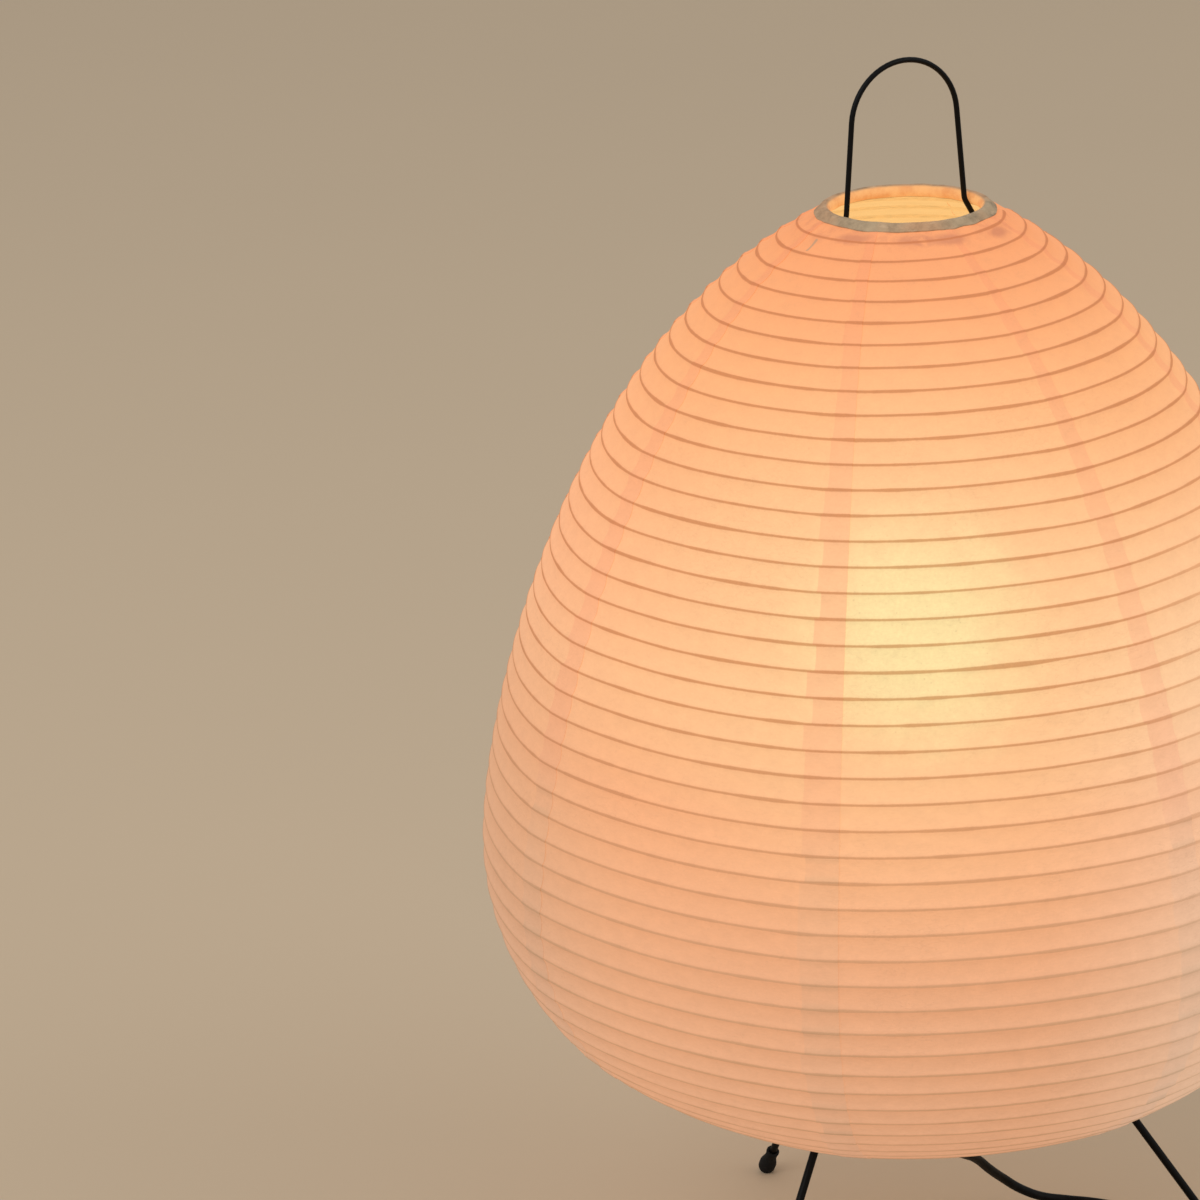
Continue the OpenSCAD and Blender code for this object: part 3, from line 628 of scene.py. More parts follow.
def addGore(number, material):
    first = shade["seamTurn"] + number * goreAngle
    wrap = 360 * math.floor((first + goreAngle / 2 - shade["ribStart"] + 180) / 360)
    columns = goreColumns()
    offset = (shade["ribStart"] - first + wrap) / 360   # ribs from the start, at the gore's edge
    rowStep = shade["ribPitch"] / paper["rowsPerRib"]
    margin = 0.6 * rowStep + shade["ribPitch"] * goreAngle * 1.3 / 360
    low = math.ceil((margin - shade["ribMargin"]) / rowStep - offset * paper["rowsPerRib"])
    top = shadeRun - margin
    high = math.floor((top - shade["ribMargin"]) / rowStep - offset * paper["rowsPerRib"])
    rows = high - low + 2
    large, small = paper["crumpleSize"]
    shares = {}

    def place(u, v):
        column = np.rint(u * (len(columns) - 1)).astype(int)
        row = np.rint(v * rows).astype(int)
        share = columns[column]
        count = (row - 1 + low) / paper["rowsPerRib"]
        plain = share * goreAngle + first
        run = shade["ribMargin"] + shade["ribPitch"] * (
            count + (shade["ribStart"] - plain + wrap) / 360)
        run = np.where(row == 0, 0, np.where(row == rows, shadeRun, run))
        angle = seamAt(number + share, run)
        turns = (run - shade["ribMargin"]) / shade["ribPitch"]
        fromStart = (shade["ribStart"] - angle + wrap) / 360
        ribCount = turns - fromStart
        near = np.rint(ribCount)
        gap = (ribCount - near) * shade["ribPitch"]
        turn = near + fromStart
        here = ((turn > -0.002) & (turn < shade["ribTurns"] + 0.002)).astype(float)
        inPitch = np.abs(ribCount - near) * 2
        full = np.clip(np.minimum(run, shadeRun - run) / paper["taut"], 0, 1)
        dip = paper["sag"] * (1 - (1 - inPitch) ** 2) * full
        swell = paper["ridge"] * np.exp(-(gap / paper["ridgeWide"]) ** 2) * here
        lapped = np.clip((share - paper["lapFrom"]) / (1 - paper["lapFrom"]), 0, 1)
        lift = swell - dip + paper["lapLift"] * lapped * (0.3 + 0.7 * full)
        rough = onShade(angle, run, lift)
        loose = inPitch * full
        crumple = ripple(rough * (1, 1, 2.2), large, 3.1) + 0.5 * ripple(rough, small, 7.7)
        shares.update(across=share, along=ribCount, ribHere=here)
        crumple = crumple * (0.15 + 0.10 * full + 0.75 * loose)
        return onShade(angle, run, lift + paper["crumple"] * crumple)

    piece = wound(f"paperGore{number + 1}", len(columns) - 1, rows, place, closed=False)
    layer = piece.data.uv_layers[0]
    layer.name = "sheetMap"
    corner = np.empty(len(piece.data.loops), int)
    piece.data.loops.foreach_get("vertex_index", corner)
    spread = np.stack((shares["across"][corner], shares["along"][corner]), axis=1)
    layer.data.foreach_set("uv", spread.ravel())
    attribute = piece.data.attributes.new("ribHere", "FLOAT", "POINT")
    attribute.data.foreach_set("value", shares["ribHere"])
    freshStart()
    applied(piece, "SOLIDIFY", thickness=shade["sheet"], offset=0)
    markInside(piece)
    return finished(piece, material, replaced=(f"paper_gore_{number + 1}",), smooth=60)


glow = {
    "heart": (-0.007, -0.101, 0.260),   # where the bulb shows through the front of the shade
    "reach": 84 * mm,
    "disc": (7 * mm, 44 * mm),
    "tones": [                          # height in mm, and the light that comes through
        (87, (0.475, 0.238, 0.140)), (115, (0.488, 0.234, 0.127)), (165, (0.495, 0.208, 0.096)),
        (210, (0.605, 0.245, 0.105)), (240, (0.66, 0.335, 0.150)), (275, (0.665, 0.325, 0.140)),
        (315, (0.65, 0.258, 0.086)), (350, (0.61, 0.163, 0.034)),
    ],
    "pool": (0.68, 0.420, 0.190),
    "hot": (0.64, 0.560, 0.250),
    "within": (0.62, 0.430, 0.170),     # the inner face
    "splices": ((0.0145, -0.1054, 0.2502), (-0.062, -0.066, 0.283), (-0.052, -0.108, 0.150),
                (0.060, -0.101, 0.205), (-0.095, 0.060, 0.230), (0.090, 0.070, 0.180)),
    "tailShadow": ((-0.0265, -0.0168, 0.3469), (-0.0291, -0.0186, 0.3449)),
    "blotches": ((0.0010, -0.0288, 0.3486), (0.0105, -0.0280, 0.3484), (-0.0170, -0.0235, 0.3486),
                 (0.0250, -0.0180, 0.3476), (-0.0040, 0.0290, 0.3486)),
}


def paperFinish():
    look = Finish("washiPaper", {"Specular IOR Level": 0.25, "Emission Strength": 1.0})
    place = look.place()
    x, y, z = look.parts(place)
    across, along = look.sheet()
    here = look.attribute("ribHere")
    inside = look.attribute("inside").above(0.96, 0.995)

    # Distance from the nearest rib in mm, and the dark line of the rib: in the glow it is the rib's
    # painted shadow, in the base colour the rib seen through the paper
    pitch = shade["ribPitch"] / mm
    wave = look.clouds(look.scaled(place, (1, 1, 0.3)), 24.0, 2.0)
    shifted = along + 0.07 * (wave - 0.5)
    nearest = (shifted + 0.5).whole()
    gap = ((shifted + 0.5).fraction() - 0.5).away() * pitch
    besideRib = look.joined(x * 60.0, y * 60.0, nearest * 5.1)
    thick = look.clouds(besideRib, 1.0, 2.0)
    ragged = look.clouds(place, 900.0, 2.0)
    width = 0.25 + 0.20 * thick.above(0.44, 0.72) + 0.14 * (ragged - 0.5)
    width = width + 0.05 * z.above(280 * mm, 330 * mm)
    tall = (1, 1, 3.4)
    for splice in glow["splices"]:
        far = look.offFrom(look.scaled(place, tall), tuple(a * b for a, b in zip(splice, tall)))
        width = width + 0.22 * (1 - far.above(6 * mm, 17 * mm))
    line = (1 - (gap - width).above(-0.14, 0.26)) * here * (1 - inside)
    ribShadowFringe = (1 - (gap - width).above(0.0, 1.1)) * here * (1 - inside)

    # Where one sheet laps the next: one edge is cut straight, the other steps at each rib
    band = look.node("ShaderNodeTexWhiteNoise", {"noise_dimensions": "1D"}, {"W": along.whole()})
    step = 1.0 + 0.030 * (band - 0.5)
    lapped = (across - step).above(-0.002, 0.002)
    under = 1 - (across - (0.002 + 0.01 * band)).above(0.0, 0.004)

    # Light from the bulb: a tone by height, a wide pool and a soft disc at the front
    front = look.offFrom(place, glow["heart"])
    mottle = look.clouds(place, 95.0, 4.0, 0.62)
    pool = 1 - (front / glow["reach"]).above(0.10, 1.20)
    edge = front + 20 * mm * (mottle - 0.5)
    disc = (1 - edge.above(*glow["disc"])) * (1 - 0.80 * lapped)
    lowest, highest = glow["tones"][0][0], glow["tones"][-1][0]
    stops = [((at - lowest) / (highest - lowest), tone) for at, tone in glow["tones"]]
    level = (z - lowest * mm) / ((highest - lowest) * mm)
    tone = look.node("ShaderNodeValToRGB", {"stops": stops}, [level])
    tone = look.blend(pool * 0.62, tone, glow["pool"])
    tone = look.blend(disc * 0.92, tone, glow["hot"])
    # Painted light and shade by side: the left is shaded darker and pinker, its lower part greyer and
    # its upper part redder, and the lower right is painted paler
    leftSideShade = (0 - x).above(80 * mm, 130 * mm)
    leftLowSideShade = leftSideShade * (1 - z.above(195 * mm, 260 * mm))
    leftHighSideShade = (0 - x).above(45 * mm, 100 * mm) * z.above(215 * mm, 280 * mm)
    rightSideLight = x.above(15 * mm, 85 * mm) * (1 - z.above(215 * mm, 300 * mm))
    tone = look.tinted(tone, leftSideShade, (0.90, 0.80, 0.93))
    tone = look.tinted(tone, leftLowSideShade, (0.84, 1.08, 1.09))
    tone = look.tinted(tone, leftHighSideShade, (1.0, 0.87, 0.87))
    tone = look.blend(1.0, tone, look.blend(rightSideLight, (0, 0, 0), (0.0, 0.095, 0.100)), "ADD")

    # Paper that isn't even: clouds of pulp, long fibres and small flecks
    pulp = look.clouds(look.scaled(place, (1, 1, 1.6)), 210.0, 5.0, 0.65)
    fine = look.clouds(place, 1150.0, 3.0, 0.6)
    fibres = look.clouds(look.joined(across * 9.0, along * 2.4, mottle), 6.0, 4.0, 0.7)
    folds = look.clouds(look.joined(across * 5.0, along * 0.9, 3.7), 3.0, 3.0, 0.55)
    folds = 1 - (folds - 0.5).away().above(0.0, 0.022)
    folds = folds * look.clouds(place, 26.0, 2.0).above(0.46, 0.62)
    fleck = 1 - look.cells(place, 620.0).above(0.10, 0.24)
    fleck = fleck * look.clouds(place, 130.0).above(0.48, 0.62)
    uneven = (1 + 0.28 * (pulp - 0.5) + 0.24 * (fibres - 0.5)
              + (0.10 + 0.18 * disc) * (fine - 0.5) - 0.18 * fleck * (0.4 + 0.6 * disc)
              - 0.07 * folds)
    tone = look.dimmed(tone, uneven)

    # The lap dims the light, and low down it shows grey patches where it was pressed on a rib
    low = 1 - z.above(150 * mm, 250 * mm)
    lapHigh = z.above(188 * mm, 228 * mm)
    lapAmount = lapped * lapHigh * (1 + 2.2 * z.above(280 * mm, 330 * mm) * (mottle - 0.42))
    tone = look.tinted(tone, lapAmount.least(1.6), (0.965, 0.85, 0.88))
    lapLow = lapped * (1 - lapHigh)
    tone = look.tinted(tone, lapLow, (0.94, 0.985, 1.04))
    pressed = lapLow * band.above(0.20, 0.90) * (1 - (gap - 0.7).above(0.0, 1.7))
    tone = look.tinted(tone, pressed, (0.83, 0.89, 0.90))
    # Painted shadow of the rib in the glow: a dark line with a soft painted shadow fringe beside it
    ribShadowTint = look.blend(low, (0.63, 0.45, 0.35), (0.70, 0.75, 0.70))
    tone = look.tinted(tone, ribShadowFringe * 0.25, (0.90, 0.80, 0.74))
    # The rib's painted shadow is made fainter on the lower right, where the side light is painted
    line = line * (1 - 0.40 * x.above(45 * mm, 75 * mm) * (1 - z.above(260 * mm, 300 * mm)))
    tone = look.tinted(tone, line, ribShadowTint)

    # Under the top ring: glue, torn wrap and the painted shadow of a strip's tail under the paper
    stain = look.clouds(place, 210.0, 4.0, 0.6)
    collar = z.above(topHeight - 6 * mm, topHeight - 1 * mm) * stain.above(0.46, 0.66) * 0.45
    flat = (0.55, 1, 2.6)
    for blotch in glow["blotches"]:
        spot = tuple(a * b for a, b in zip(blotch, flat))
        near = look.offFrom(look.scaled(place, flat), spot) + 5 * mm * (stain - 0.5)
        collar = collar.most((1 - near.above(1.6 * mm, 5.2 * mm)) * stain.above(0.24, 0.50))
    tone = look.blend(collar * 0.9, tone, (0.34, 0.045, 0.004))
    # Painted shadow of the strip's tail in the glow
    tailShadow = 1 - look.offLine(place, *glow["tailShadow"]).above(0.3 * mm, 0.8 * mm)
    tone = look.blend(tailShadow * 0.8, tone, (0.16, 0.10, 0.06))

    # Painted light on the inner face, as lit by the bulb, with streaks
    streaks = look.clouds(look.scaled(place, (1, 1, 7)), 70.0, 4.0, 0.65)
    within = look.dimmed(glow["within"], 0.80 + 0.4 * streaks)
    tone = look.blend(inside, tone, within)

    base = look.blend(1 - z.above(100 * mm, 240 * mm), (0.37, 0.225, 0.135), (0.40, 0.262, 0.178))
    base = look.blend(line, base, look.blend(low, (0.31, 0.17, 0.085), (0.375, 0.235, 0.152)))
    grain = look.clouds(place, 1500.0, 4.0, 0.6) + 1.6 * look.clouds(place, 330.0, 3.0)
    normal = look.bump(grain + 0.5 * line - 0.3 * under + 0.9 * folds, 0.35, 0.16 * mm)
    return look.wire(colour=base, glow=tone, rough=0.74 + 0.14 * pulp, normal=normal)


washi = paperFinish()
for number in range(shade["gores"]):
    addGore(number, washi)
print("paper laid in", shade["gores"], "gores")


# Spiral rib of split bamboo under the paper
rib = {
    "width": 1.1 * mm,
    "depth": 0.8 * mm,
    "corner": 0.22 * mm,
    "under": 0.19 * mm,     # from the face of the paper to the strip
    "perTurn": 64,
}


def bambooFinish():
    look = Finish("splitBamboo", {"Specular IOR Level": 0.35, "Emission Strength": 1.0})
    place = look.place()
    grain = look.clouds(look.scaled(place, (1, 1, 14)), 320.0, 4.0, 0.6)
    knots = look.clouds(place, 22.0, 2.0)
    colour = look.node("ShaderNodeValToRGB", {"stops": [
        (0.25, (0.20, 0.095, 0.035)), (0.55, (0.42, 0.24, 0.10)), (0.85, (0.58, 0.38, 0.19)),
    ]}, [grain + 0.25 * (knots - 0.5)])
    # Painted glow: the bamboo shown as lit by the bulb inside the shade
    lit = look.blend(grain, (0.52, 0.34, 0.125), (0.62, 0.42, 0.165))
    return look.wire(colour=colour, glow=lit, rough=0.45 + 0.25 * grain,
                     normal=look.bump(grain, 0.4, 0.1 * mm))


bamboo = bambooFinish()


def addRib():
    side = rib["width"] / 2
    deep = rib["depth"]
    corner = rib["corner"]
    section = np.array([
        (-side + corner, 0), (side - corner, 0), (side, -corner), (side, -deep + corner),
        (side - corner, -deep), (-side + corner, -deep), (-side, -deep + corner), (-side, -corner),
        (-side + corner, 0),
    ])
    rings = shade["ribTurns"] * rib["perTurn"]

    def place(u, v):
        point = section[np.rint(u * (len(section) - 1)).astype(int)]
        turn = np.rint(v * rings) / rib["perTurn"]
        angle = shade["ribStart"] - 360 * turn
        run = shade["ribMargin"] + shade["ribPitch"] * turn
        splice = np.exp(-((turn * 1.37) % 1 - 0.5) ** 2 / 0.0012)
        fat = 1 + 0.55 * splice
        end = np.clip(np.minimum(turn, shade["ribTurns"] - turn) / 0.004, 0.3, 1)
        return onShade(angle, run + point[:, 0] * fat * end,
                       -rib["under"] + point[:, 1] * end)

    piece = wound("ribSpiral", len(section) - 1, rings, place)
    pick(piece, "edges", lambda e: False)
    bpy.ops.mesh.select_mode(type="EDGE")
    bpy.ops.mesh.select_non_manifold()
    bpy.ops.mesh.edge_face_add()
    outward()
    return finished(piece, bamboo, replaced=("bamboo_rib",), smooth=50)


addRib()
print("rib wound")


# Rings wrapped in torn paper
wrapLook = {
    "crease": 0.16 * mm,
    "skirt": 0.7 * mm,    # how far the wrap reaches over the paper
    "torn": 0.55 * mm,    # unevenness of that edge
    "rounds": 260,
}


def wrapFinish(name, tint, lit):
    look = Finish(name, {"Specular IOR Level": 0.3, "Emission Strength": 1.0})
    place = look.place()
    x, y = look.parts(place)[:2]
    far = look.joined(x, y)
    radius = look.node("ShaderNodeVectorMath", {"operation": "LENGTH"}, [far], "Value")
    blotch = look.clouds(place, 170.0, 5.0, 0.66)
    grain = look.clouds(place, 900.0, 4.0, 0.6)
    fibre = look.clouds(look.scaled(place, (1, 1, 0.35)), 700.0, 3.0, 0.7)
    colour = look.node("ShaderNodeValToRGB", {"stops": [
        (0.30, tuple(c * 0.62 for c in tint)), (0.50, tint), (0.74, tuple(c * 1.22 for c in tint)),
    ]}, [blotch])
    patch = look.clouds(place, 46.0, 3.0)
    worn = look.clouds(look.scaled(place, (1, 1, 2.5)), 330.0, 4.0, 0.7)
    rosy = look.blend(patch.above(0.40, 0.62), (1.10, 0.99, 0.93), (0.93, 1.04, 1.10))
    colour = look.blend(1.0, colour, rosy, "MULTIPLY")
    colour = look.blend(worn.above(0.56, 0.70) * 0.45, colour, (0.60, 0.43, 0.27))
    # On the inner side the wrap is painted as lit by the bulb: a painted orange glow over a darker
    # brown base
    inner = 1 - radius.above(lit[0], lit[1])
    insideBulbGlow = look.dimmed(look.blend(blotch.above(0.35, 0.65), (0.64, 0.31, 0.10),
                                  (0.52, 0.19, 0.05)), inner)
    colour = look.blend(inner, colour, (0.34, 0.175, 0.085))
    height = grain + 1.4 * blotch + 0.6 * fibre
    return look.wire(colour=colour, glow=insideBulbGlow, rough=0.72 + 0.2 * grain,
                     normal=look.bump(height, 0.6, 0.25 * mm))


def addWrap(name, node, material, seed, side, slope):
    # A round wrap whose outer edge is drawn out over the paper, which leaves it at a slope
    low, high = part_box(node)
    thick = (high.z - low.z) / 2
    centre = high.x - thick
    middle = (high.z + low.z) / 2
    slope = math.radians(slope)
    start = thick + shade["seat"]
    tip = start + wrapLook["skirt"] * math.cos(slope), -wrapLook["skirt"] * math.sin(slope)
    flank = thick * math.cos(math.radians(58)), thick * math.sin(math.radians(58))
    section = [flank]
    section += [(thick * math.cos(math.radians(a)), thick * math.sin(math.radians(a)))
                for a in range(76, 331, 16)]
    section += [(start, -0.32 * mm), (tip[0], tip[1] + 0.02 * mm),
                (tip[0] + 0.06 * mm, tip[1] + 0.34 * mm), (tip[0] - 0.35 * mm, tip[1] + 0.58 * mm)]
    back = section[-1]
    section += [(back[0] + (flank[0] - back[0]) * t, back[1] + (flank[1] - back[1]) * t)
                for t in (0.25, 0.5, 0.75, 1)]
    section = np.array(section)
    outer = np.clip((section[:, 0] - 0.4 * thick) / thick, 0, 1)
    rounds = wrapLook["rounds"]

    def place(u, v):
        corner = np.rint(u * (len(section) - 1)).astype(int)
        angle = 2 * math.pi * v
        flat, up = section[corner, 0], section[corner, 1]
        spot = around(centre, angle, 0 * angle) + around(flat, angle, up)
        creases = ripple(spot * (1, 1, 1.4), 4.2 * mm, seed) * wrapLook["crease"]
        creases = creases + 0.4 * wrapLook["crease"] * ripple(spot, 1.5 * mm, seed + 5)
        torn = ripple(spot * (1, 1, 0.2), 5.5 * mm, seed + 9) * wrapLook["torn"] * outer[corner]
        size = 1 - 0.06 + creases / thick
        flat = flat * size + torn * math.cos(slope)
        up = up * size - torn * math.sin(slope)
        return around(centre + flat, angle, middle + side * up)

    piece = wound(name, len(section) - 1, rounds, place)
    return finished(piece, material, replaced=(node,), smooth=60)


addWrap("topWrap", "top_wrap", wrapFinish("ringPaperTop", (0.44, 0.290, 0.172),
                                          (21.6 * mm, 22.6 * mm)), 1.3, 1, shade["topSlope"])
addWrap("bottomWrap", "bottom_wrap", wrapFinish("ringPaperBottom", (0.42, 0.280, 0.168),
                                                (54.9 * mm, 55.9 * mm)), 4.9, -1,
        shade["underSlope"])
print("rings wrapped")


# Finishes of the metal, plastic and glass pieces
def lacquerFinish():
    look = Finish("blackLacquer", {"Specular IOR Level": 0.11})
    place = look.place()
    peel = look.clouds(place, 620.0, 2.0)
    wear = look.clouds(place, 140.0, 5.0, 0.7)
    colour = look.blend(wear.above(0.62, 0.80), (0.0022, 0.0021, 0.0021), (0.009, 0.008, 0.007))
    return look.wire(colour=colour, rough=0.32 + 0.22 * wear, normal=look.bump(peel, 0.12, 0.08 * mm))


def mouldedFinish(name, tint, rough, grainScale, grainDepth):
    look = Finish(name, {"Specular IOR Level": 0.36})
    place = look.place()
    pits = look.cells(place, grainScale)
    haze = look.clouds(place, 90.0, 4.0)
    colour = look.blend(haze, tuple(c * 0.8 for c in tint), tuple(c * 1.5 for c in tint))
    return look.wire(colour=colour, rough=rough + 0.16 * (haze - 0.5),
                     normal=look.bump(pits, 0.35, grainDepth))


def metalFinish(name, light, dark, rough, brushed):
    look = Finish(name, {"Metallic": 1.0})
    place = look.place()
    lines = look.clouds(look.scaled(place, brushed), 300.0, 3.0, 0.6)
    tarnish = look.clouds(place, 120.0, 5.0, 0.65)
    colour = look.blend(tarnish.above(0.40, 0.75), light, dark)
    return look.wire(colour=colour, rough=rough + 0.18 * tarnish + 0.08 * lines,
                     normal=look.bump(lines, 0.12, 0.05 * mm))


def rubberFinish():
    look = Finish("footRubber", {"Specular IOR Level": 0.18})
    place = look.place()
    dust = look.clouds(place, 480.0, 4.0, 0.7)
    colour = look.blend(dust.above(0.50, 0.85), (0.006, 0.006, 0.006), (0.03, 0.028, 0.026))
    return look.wire(colour=colour, rough=0.66 + 0.25 * dust, normal=look.bump(dust, 0.3, 0.1 * mm))


def porcelainFinish():
    look = Finish("porcelain", {"Specular IOR Level": 0.5})
    place = look.place()
    cloud = look.clouds(place, 200.0, 4.0)
    colour = look.blend(cloud, (0.74, 0.71, 0.65), (0.84, 0.82, 0.78))
    return look.wire(colour=colour, rough=0.35 + 0.3 * cloud, normal=look.bump(cloud, 0.2, 0.1 * mm))


def frostedFinish():
    look = Finish("frostedGlass", {"Specular IOR Level": 0.5, "Emission Strength": 1.0})
    place = look.place()
    z = look.parts(place)[2]
    frost = look.clouds(place, 1400.0, 2.0)
    body = z.above(168 * mm, 200 * mm)
    lit = look.blend(body, (0.62, 0.36, 0.14), (0.98, 0.80, 0.50))
    lit = look.dimmed(lit, 0.95 + 0.08 * frost)
    colour = look.blend(frost, (0.50, 0.47, 0.42), (0.58, 0.55, 0.50))
    return look.wire(colour=colour, glow=lit, rough=0.30 + 0.12 * frost,
                     normal=look.bump(frost, 0.08, 0.05 * mm))


lacquer = lacquerFinish()
hubSteel = mouldedFinish("hubEnamel", (0.016, 0.016, 0.017), 0.38, 900.0, 0.06 * mm)
holderPlastic = mouldedFinish("holderPlastic", (0.020, 0.019, 0.019), 0.42, 1500.0, 0.05 * mm)
switchPlastic = mouldedFinish("switchPlastic", (0.013, 0.013, 0.013), 0.46, 1900.0, 0.05 * mm)
glossPlastic = mouldedFinish("rockerPlastic", (0.014, 0.014, 0.015), 0.20, 300.0, 0.01 * mm)
softPlastic = mouldedFinish("softPlastic", (0.013, 0.013, 0.013), 0.55, 1300.0, 0.05 * mm)
vitrite = mouldedFinish("vitrite", (0.016, 0.011, 0.020), 0.16, 200.0, 0.01 * mm)
brass = metalFinish("brass", (0.78, 0.58, 0.28), (0.50, 0.35, 0.15), 0.24, (1, 1, 6))
solder = metalFinish("solder", (0.60, 0.60, 0.61), (0.40, 0.40, 0.42), 0.34, (1, 1, 1))
rolledCap = metalFinish("rolledCap", (0.80, 0.79, 0.77), (0.58, 0.57, 0.55), 0.22, (1, 1, 5))
screwSteel = metalFinish("screwSteel", (0.62, 0.62, 0.63), (0.40, 0.40, 0.41), 0.28, (4, 1, 1))
pinMetal = metalFinish("pinMetal", (0.82, 0.77, 0.64), (0.64, 0.58, 0.46), 0.20, (1, 5, 5))
rubber = rubberFinish()
porcelain = porcelainFinish()
frosted = frostedFinish()


# CAD nodes whose shape is right keep it and take these finishes
carried = {
    "wire_sleeves": lacquer, "leg_front": lacquer,
    "leg_right": lacquer, "leg_rear": lacquer, "ring_hooks": lacquer, "hub_plate": hubSteel,
    "hub_nut": brass, "nipple_tube": brass, "top_hoop": bamboo, "bottom_hoop": bamboo,
    "holder_insert": porcelain, "holder_contact": brass, "bulb_contact": solder,
    "bulb_insulator": vitrite, "plug_pins": pinMetal, "pin_sleeves": softPlastic,
}
for node, material in carried.items():
    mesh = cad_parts[node].data
    mesh.materials.clear()
    mesh.materials.append(material)
print("finishes given to", len(carried), "solid pieces")


# Rubber feet: a dome on the floor that narrows into a sleeve round the leg
foot = {
    "out": 109.2 * mm,       # from the lamp's axis to the middle of the dome
    "high": 2.3 * mm,
    "lean": 34,              # degrees
    "turns": {"foot_front": -127, "foot_right": -7, "foot_rear": 113},   # degrees
    "dome": 2.8 * mm,
    "sleeve": 1.95 * mm,
    "bore": 1.25 * mm,
    "long": 9 * mm,
}


def addFeet():
    dome, sleeve, bore, long = foot["dome"], foot["sleeve"], foot["bore"], foot["long"]
    curve = [(dome * math.sin(a), -dome * math.cos(a)) for a in np.linspace(0, math.pi / 2, 9)]
    curve += [(dome, 1.9 * mm), (dome - 0.15 * mm, 2.6 * mm), (2.3 * mm, 3.9 * mm),
              (sleeve + 0.06 * mm, 5 * mm), (sleeve, 5.8 * mm), (sleeve, long - 0.9 * mm),
              (sleeve + 0.2 * mm, long - 0.7 * mm), (sleeve + 0.2 * mm, long - 0.2 * mm),
              (sleeve, long), (bore + 0.15 * mm, long), (bore, long - 0.15 * mm),
              (bore, -0.05 * mm), (0, -0.05 * mm)]
    first = turned("footFront", curve, 40)
    lean = math.radians(foot["lean"])
    reshape(first, lambda p: np.stack((
        foot["out"] + math.cos(lean) * p[:, 0] - math.sin(lean) * p[:, 2], p[:, 1],
        foot["high"] + math.sin(lean) * p[:, 0] + math.cos(lean) * p[:, 2]), axis=1))
    edit()
    bpy.ops.mesh.bisect(plane_co=(0, 0, 0), plane_no=(0, 0, 1), use_fill=True, clear_inner=True,
                        threshold=weld)
    outward()
    pieces = [first, copied(first, "footRight"), copied(first, "footRear")]
    for piece, (node, turn) in zip(pieces, foot["turns"].items()):
        reshape(piece, lambda p: spun(p, turn))
        finished(piece, rubber, replaced=(node,), smooth=40)


addFeet()
print("feet moulded")


# Stretcher: one wire from sleeve to sleeve, with open shoulders under the top ring
stretcher = {
    "turn": 26.6,         # degrees
    "thick": 1.6 * mm,
    "half": ((39, 114.6), (39, 329.4), (23.2, 344.4), (19.45, 350.9), (15.81, 393.2)),   # mm
    "bends": (0, 10, 4, 4, 17.2),                                                         # mm
}


def bentPath(corners, bends):
    # Points along a bent wire, with an arc at each inner corner
    points = [corners[0]]
    for before, corner, after, bend in zip(corners, corners[1:], corners[2:], bends[1:]):
        there, onward = (corner - before).normalized(), (after - corner).normalized()
        angle = there.angle(onward)
        reach = bend * math.tan(angle / 2)
        start, end = corner - there * reach, corner + onward * reach
        middle = (start + end) / 2
        centre = corner + (middle - corner).normalized() * bend / math.cos(angle / 2)
        steps = max(4, round(math.degrees(angle) / 6))
        first = start - centre
        across = there * bend
        points += [centre + first * math.cos(angle * k / steps) + across * math.sin(angle * k / steps)
                   for k in range(steps + 1)]
    return points + [corners[-1]]


def addStretcher():
    half = [Vector(p) * mm for p in stretcher["half"]]
    corners = half + [Vector((-p.x, p.y)) for p in reversed(half)]
    bends = [bend * mm for bend in stretcher["bends"] + stretcher["bends"][::-1]]
    turn = math.radians(stretcher["turn"])
    drawn("stretcherWire", [(p.x * math.cos(turn), p.x * math.sin(turn), p.y)
                            for p in bentPath(corners, bends)])
    leaveEdit()
    bpy.ops.object.convert(target="CURVE")
    wire = bpy.context.object
    wire.data.bevel_depth = stretcher["thick"] / 2
    wire.data.bevel_resolution = 3
    wire.data.use_fill_caps = True
    bpy.ops.object.convert(target="MESH")
    wire = bpy.context.object
    edit()
    outward()
    finished(wire, lacquer, replaced=("stretcher_wire",), smooth=60)


addStretcher()
print("stretcher bent")


# Lampholder: cap and body turned from a profile, with grip flutes cut round the cap
holder = {
    "capLow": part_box("holder_cap")[0].z,
    "bodyLow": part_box("holder_body")[0].z,
    "bodyHigh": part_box("holder_body")[1].z,
    "radius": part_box("holder_body")[1].x,
    "bore": 14.6 * mm,
    "flutes": 30,
    "fluteDeep": 0.45 * mm,
}


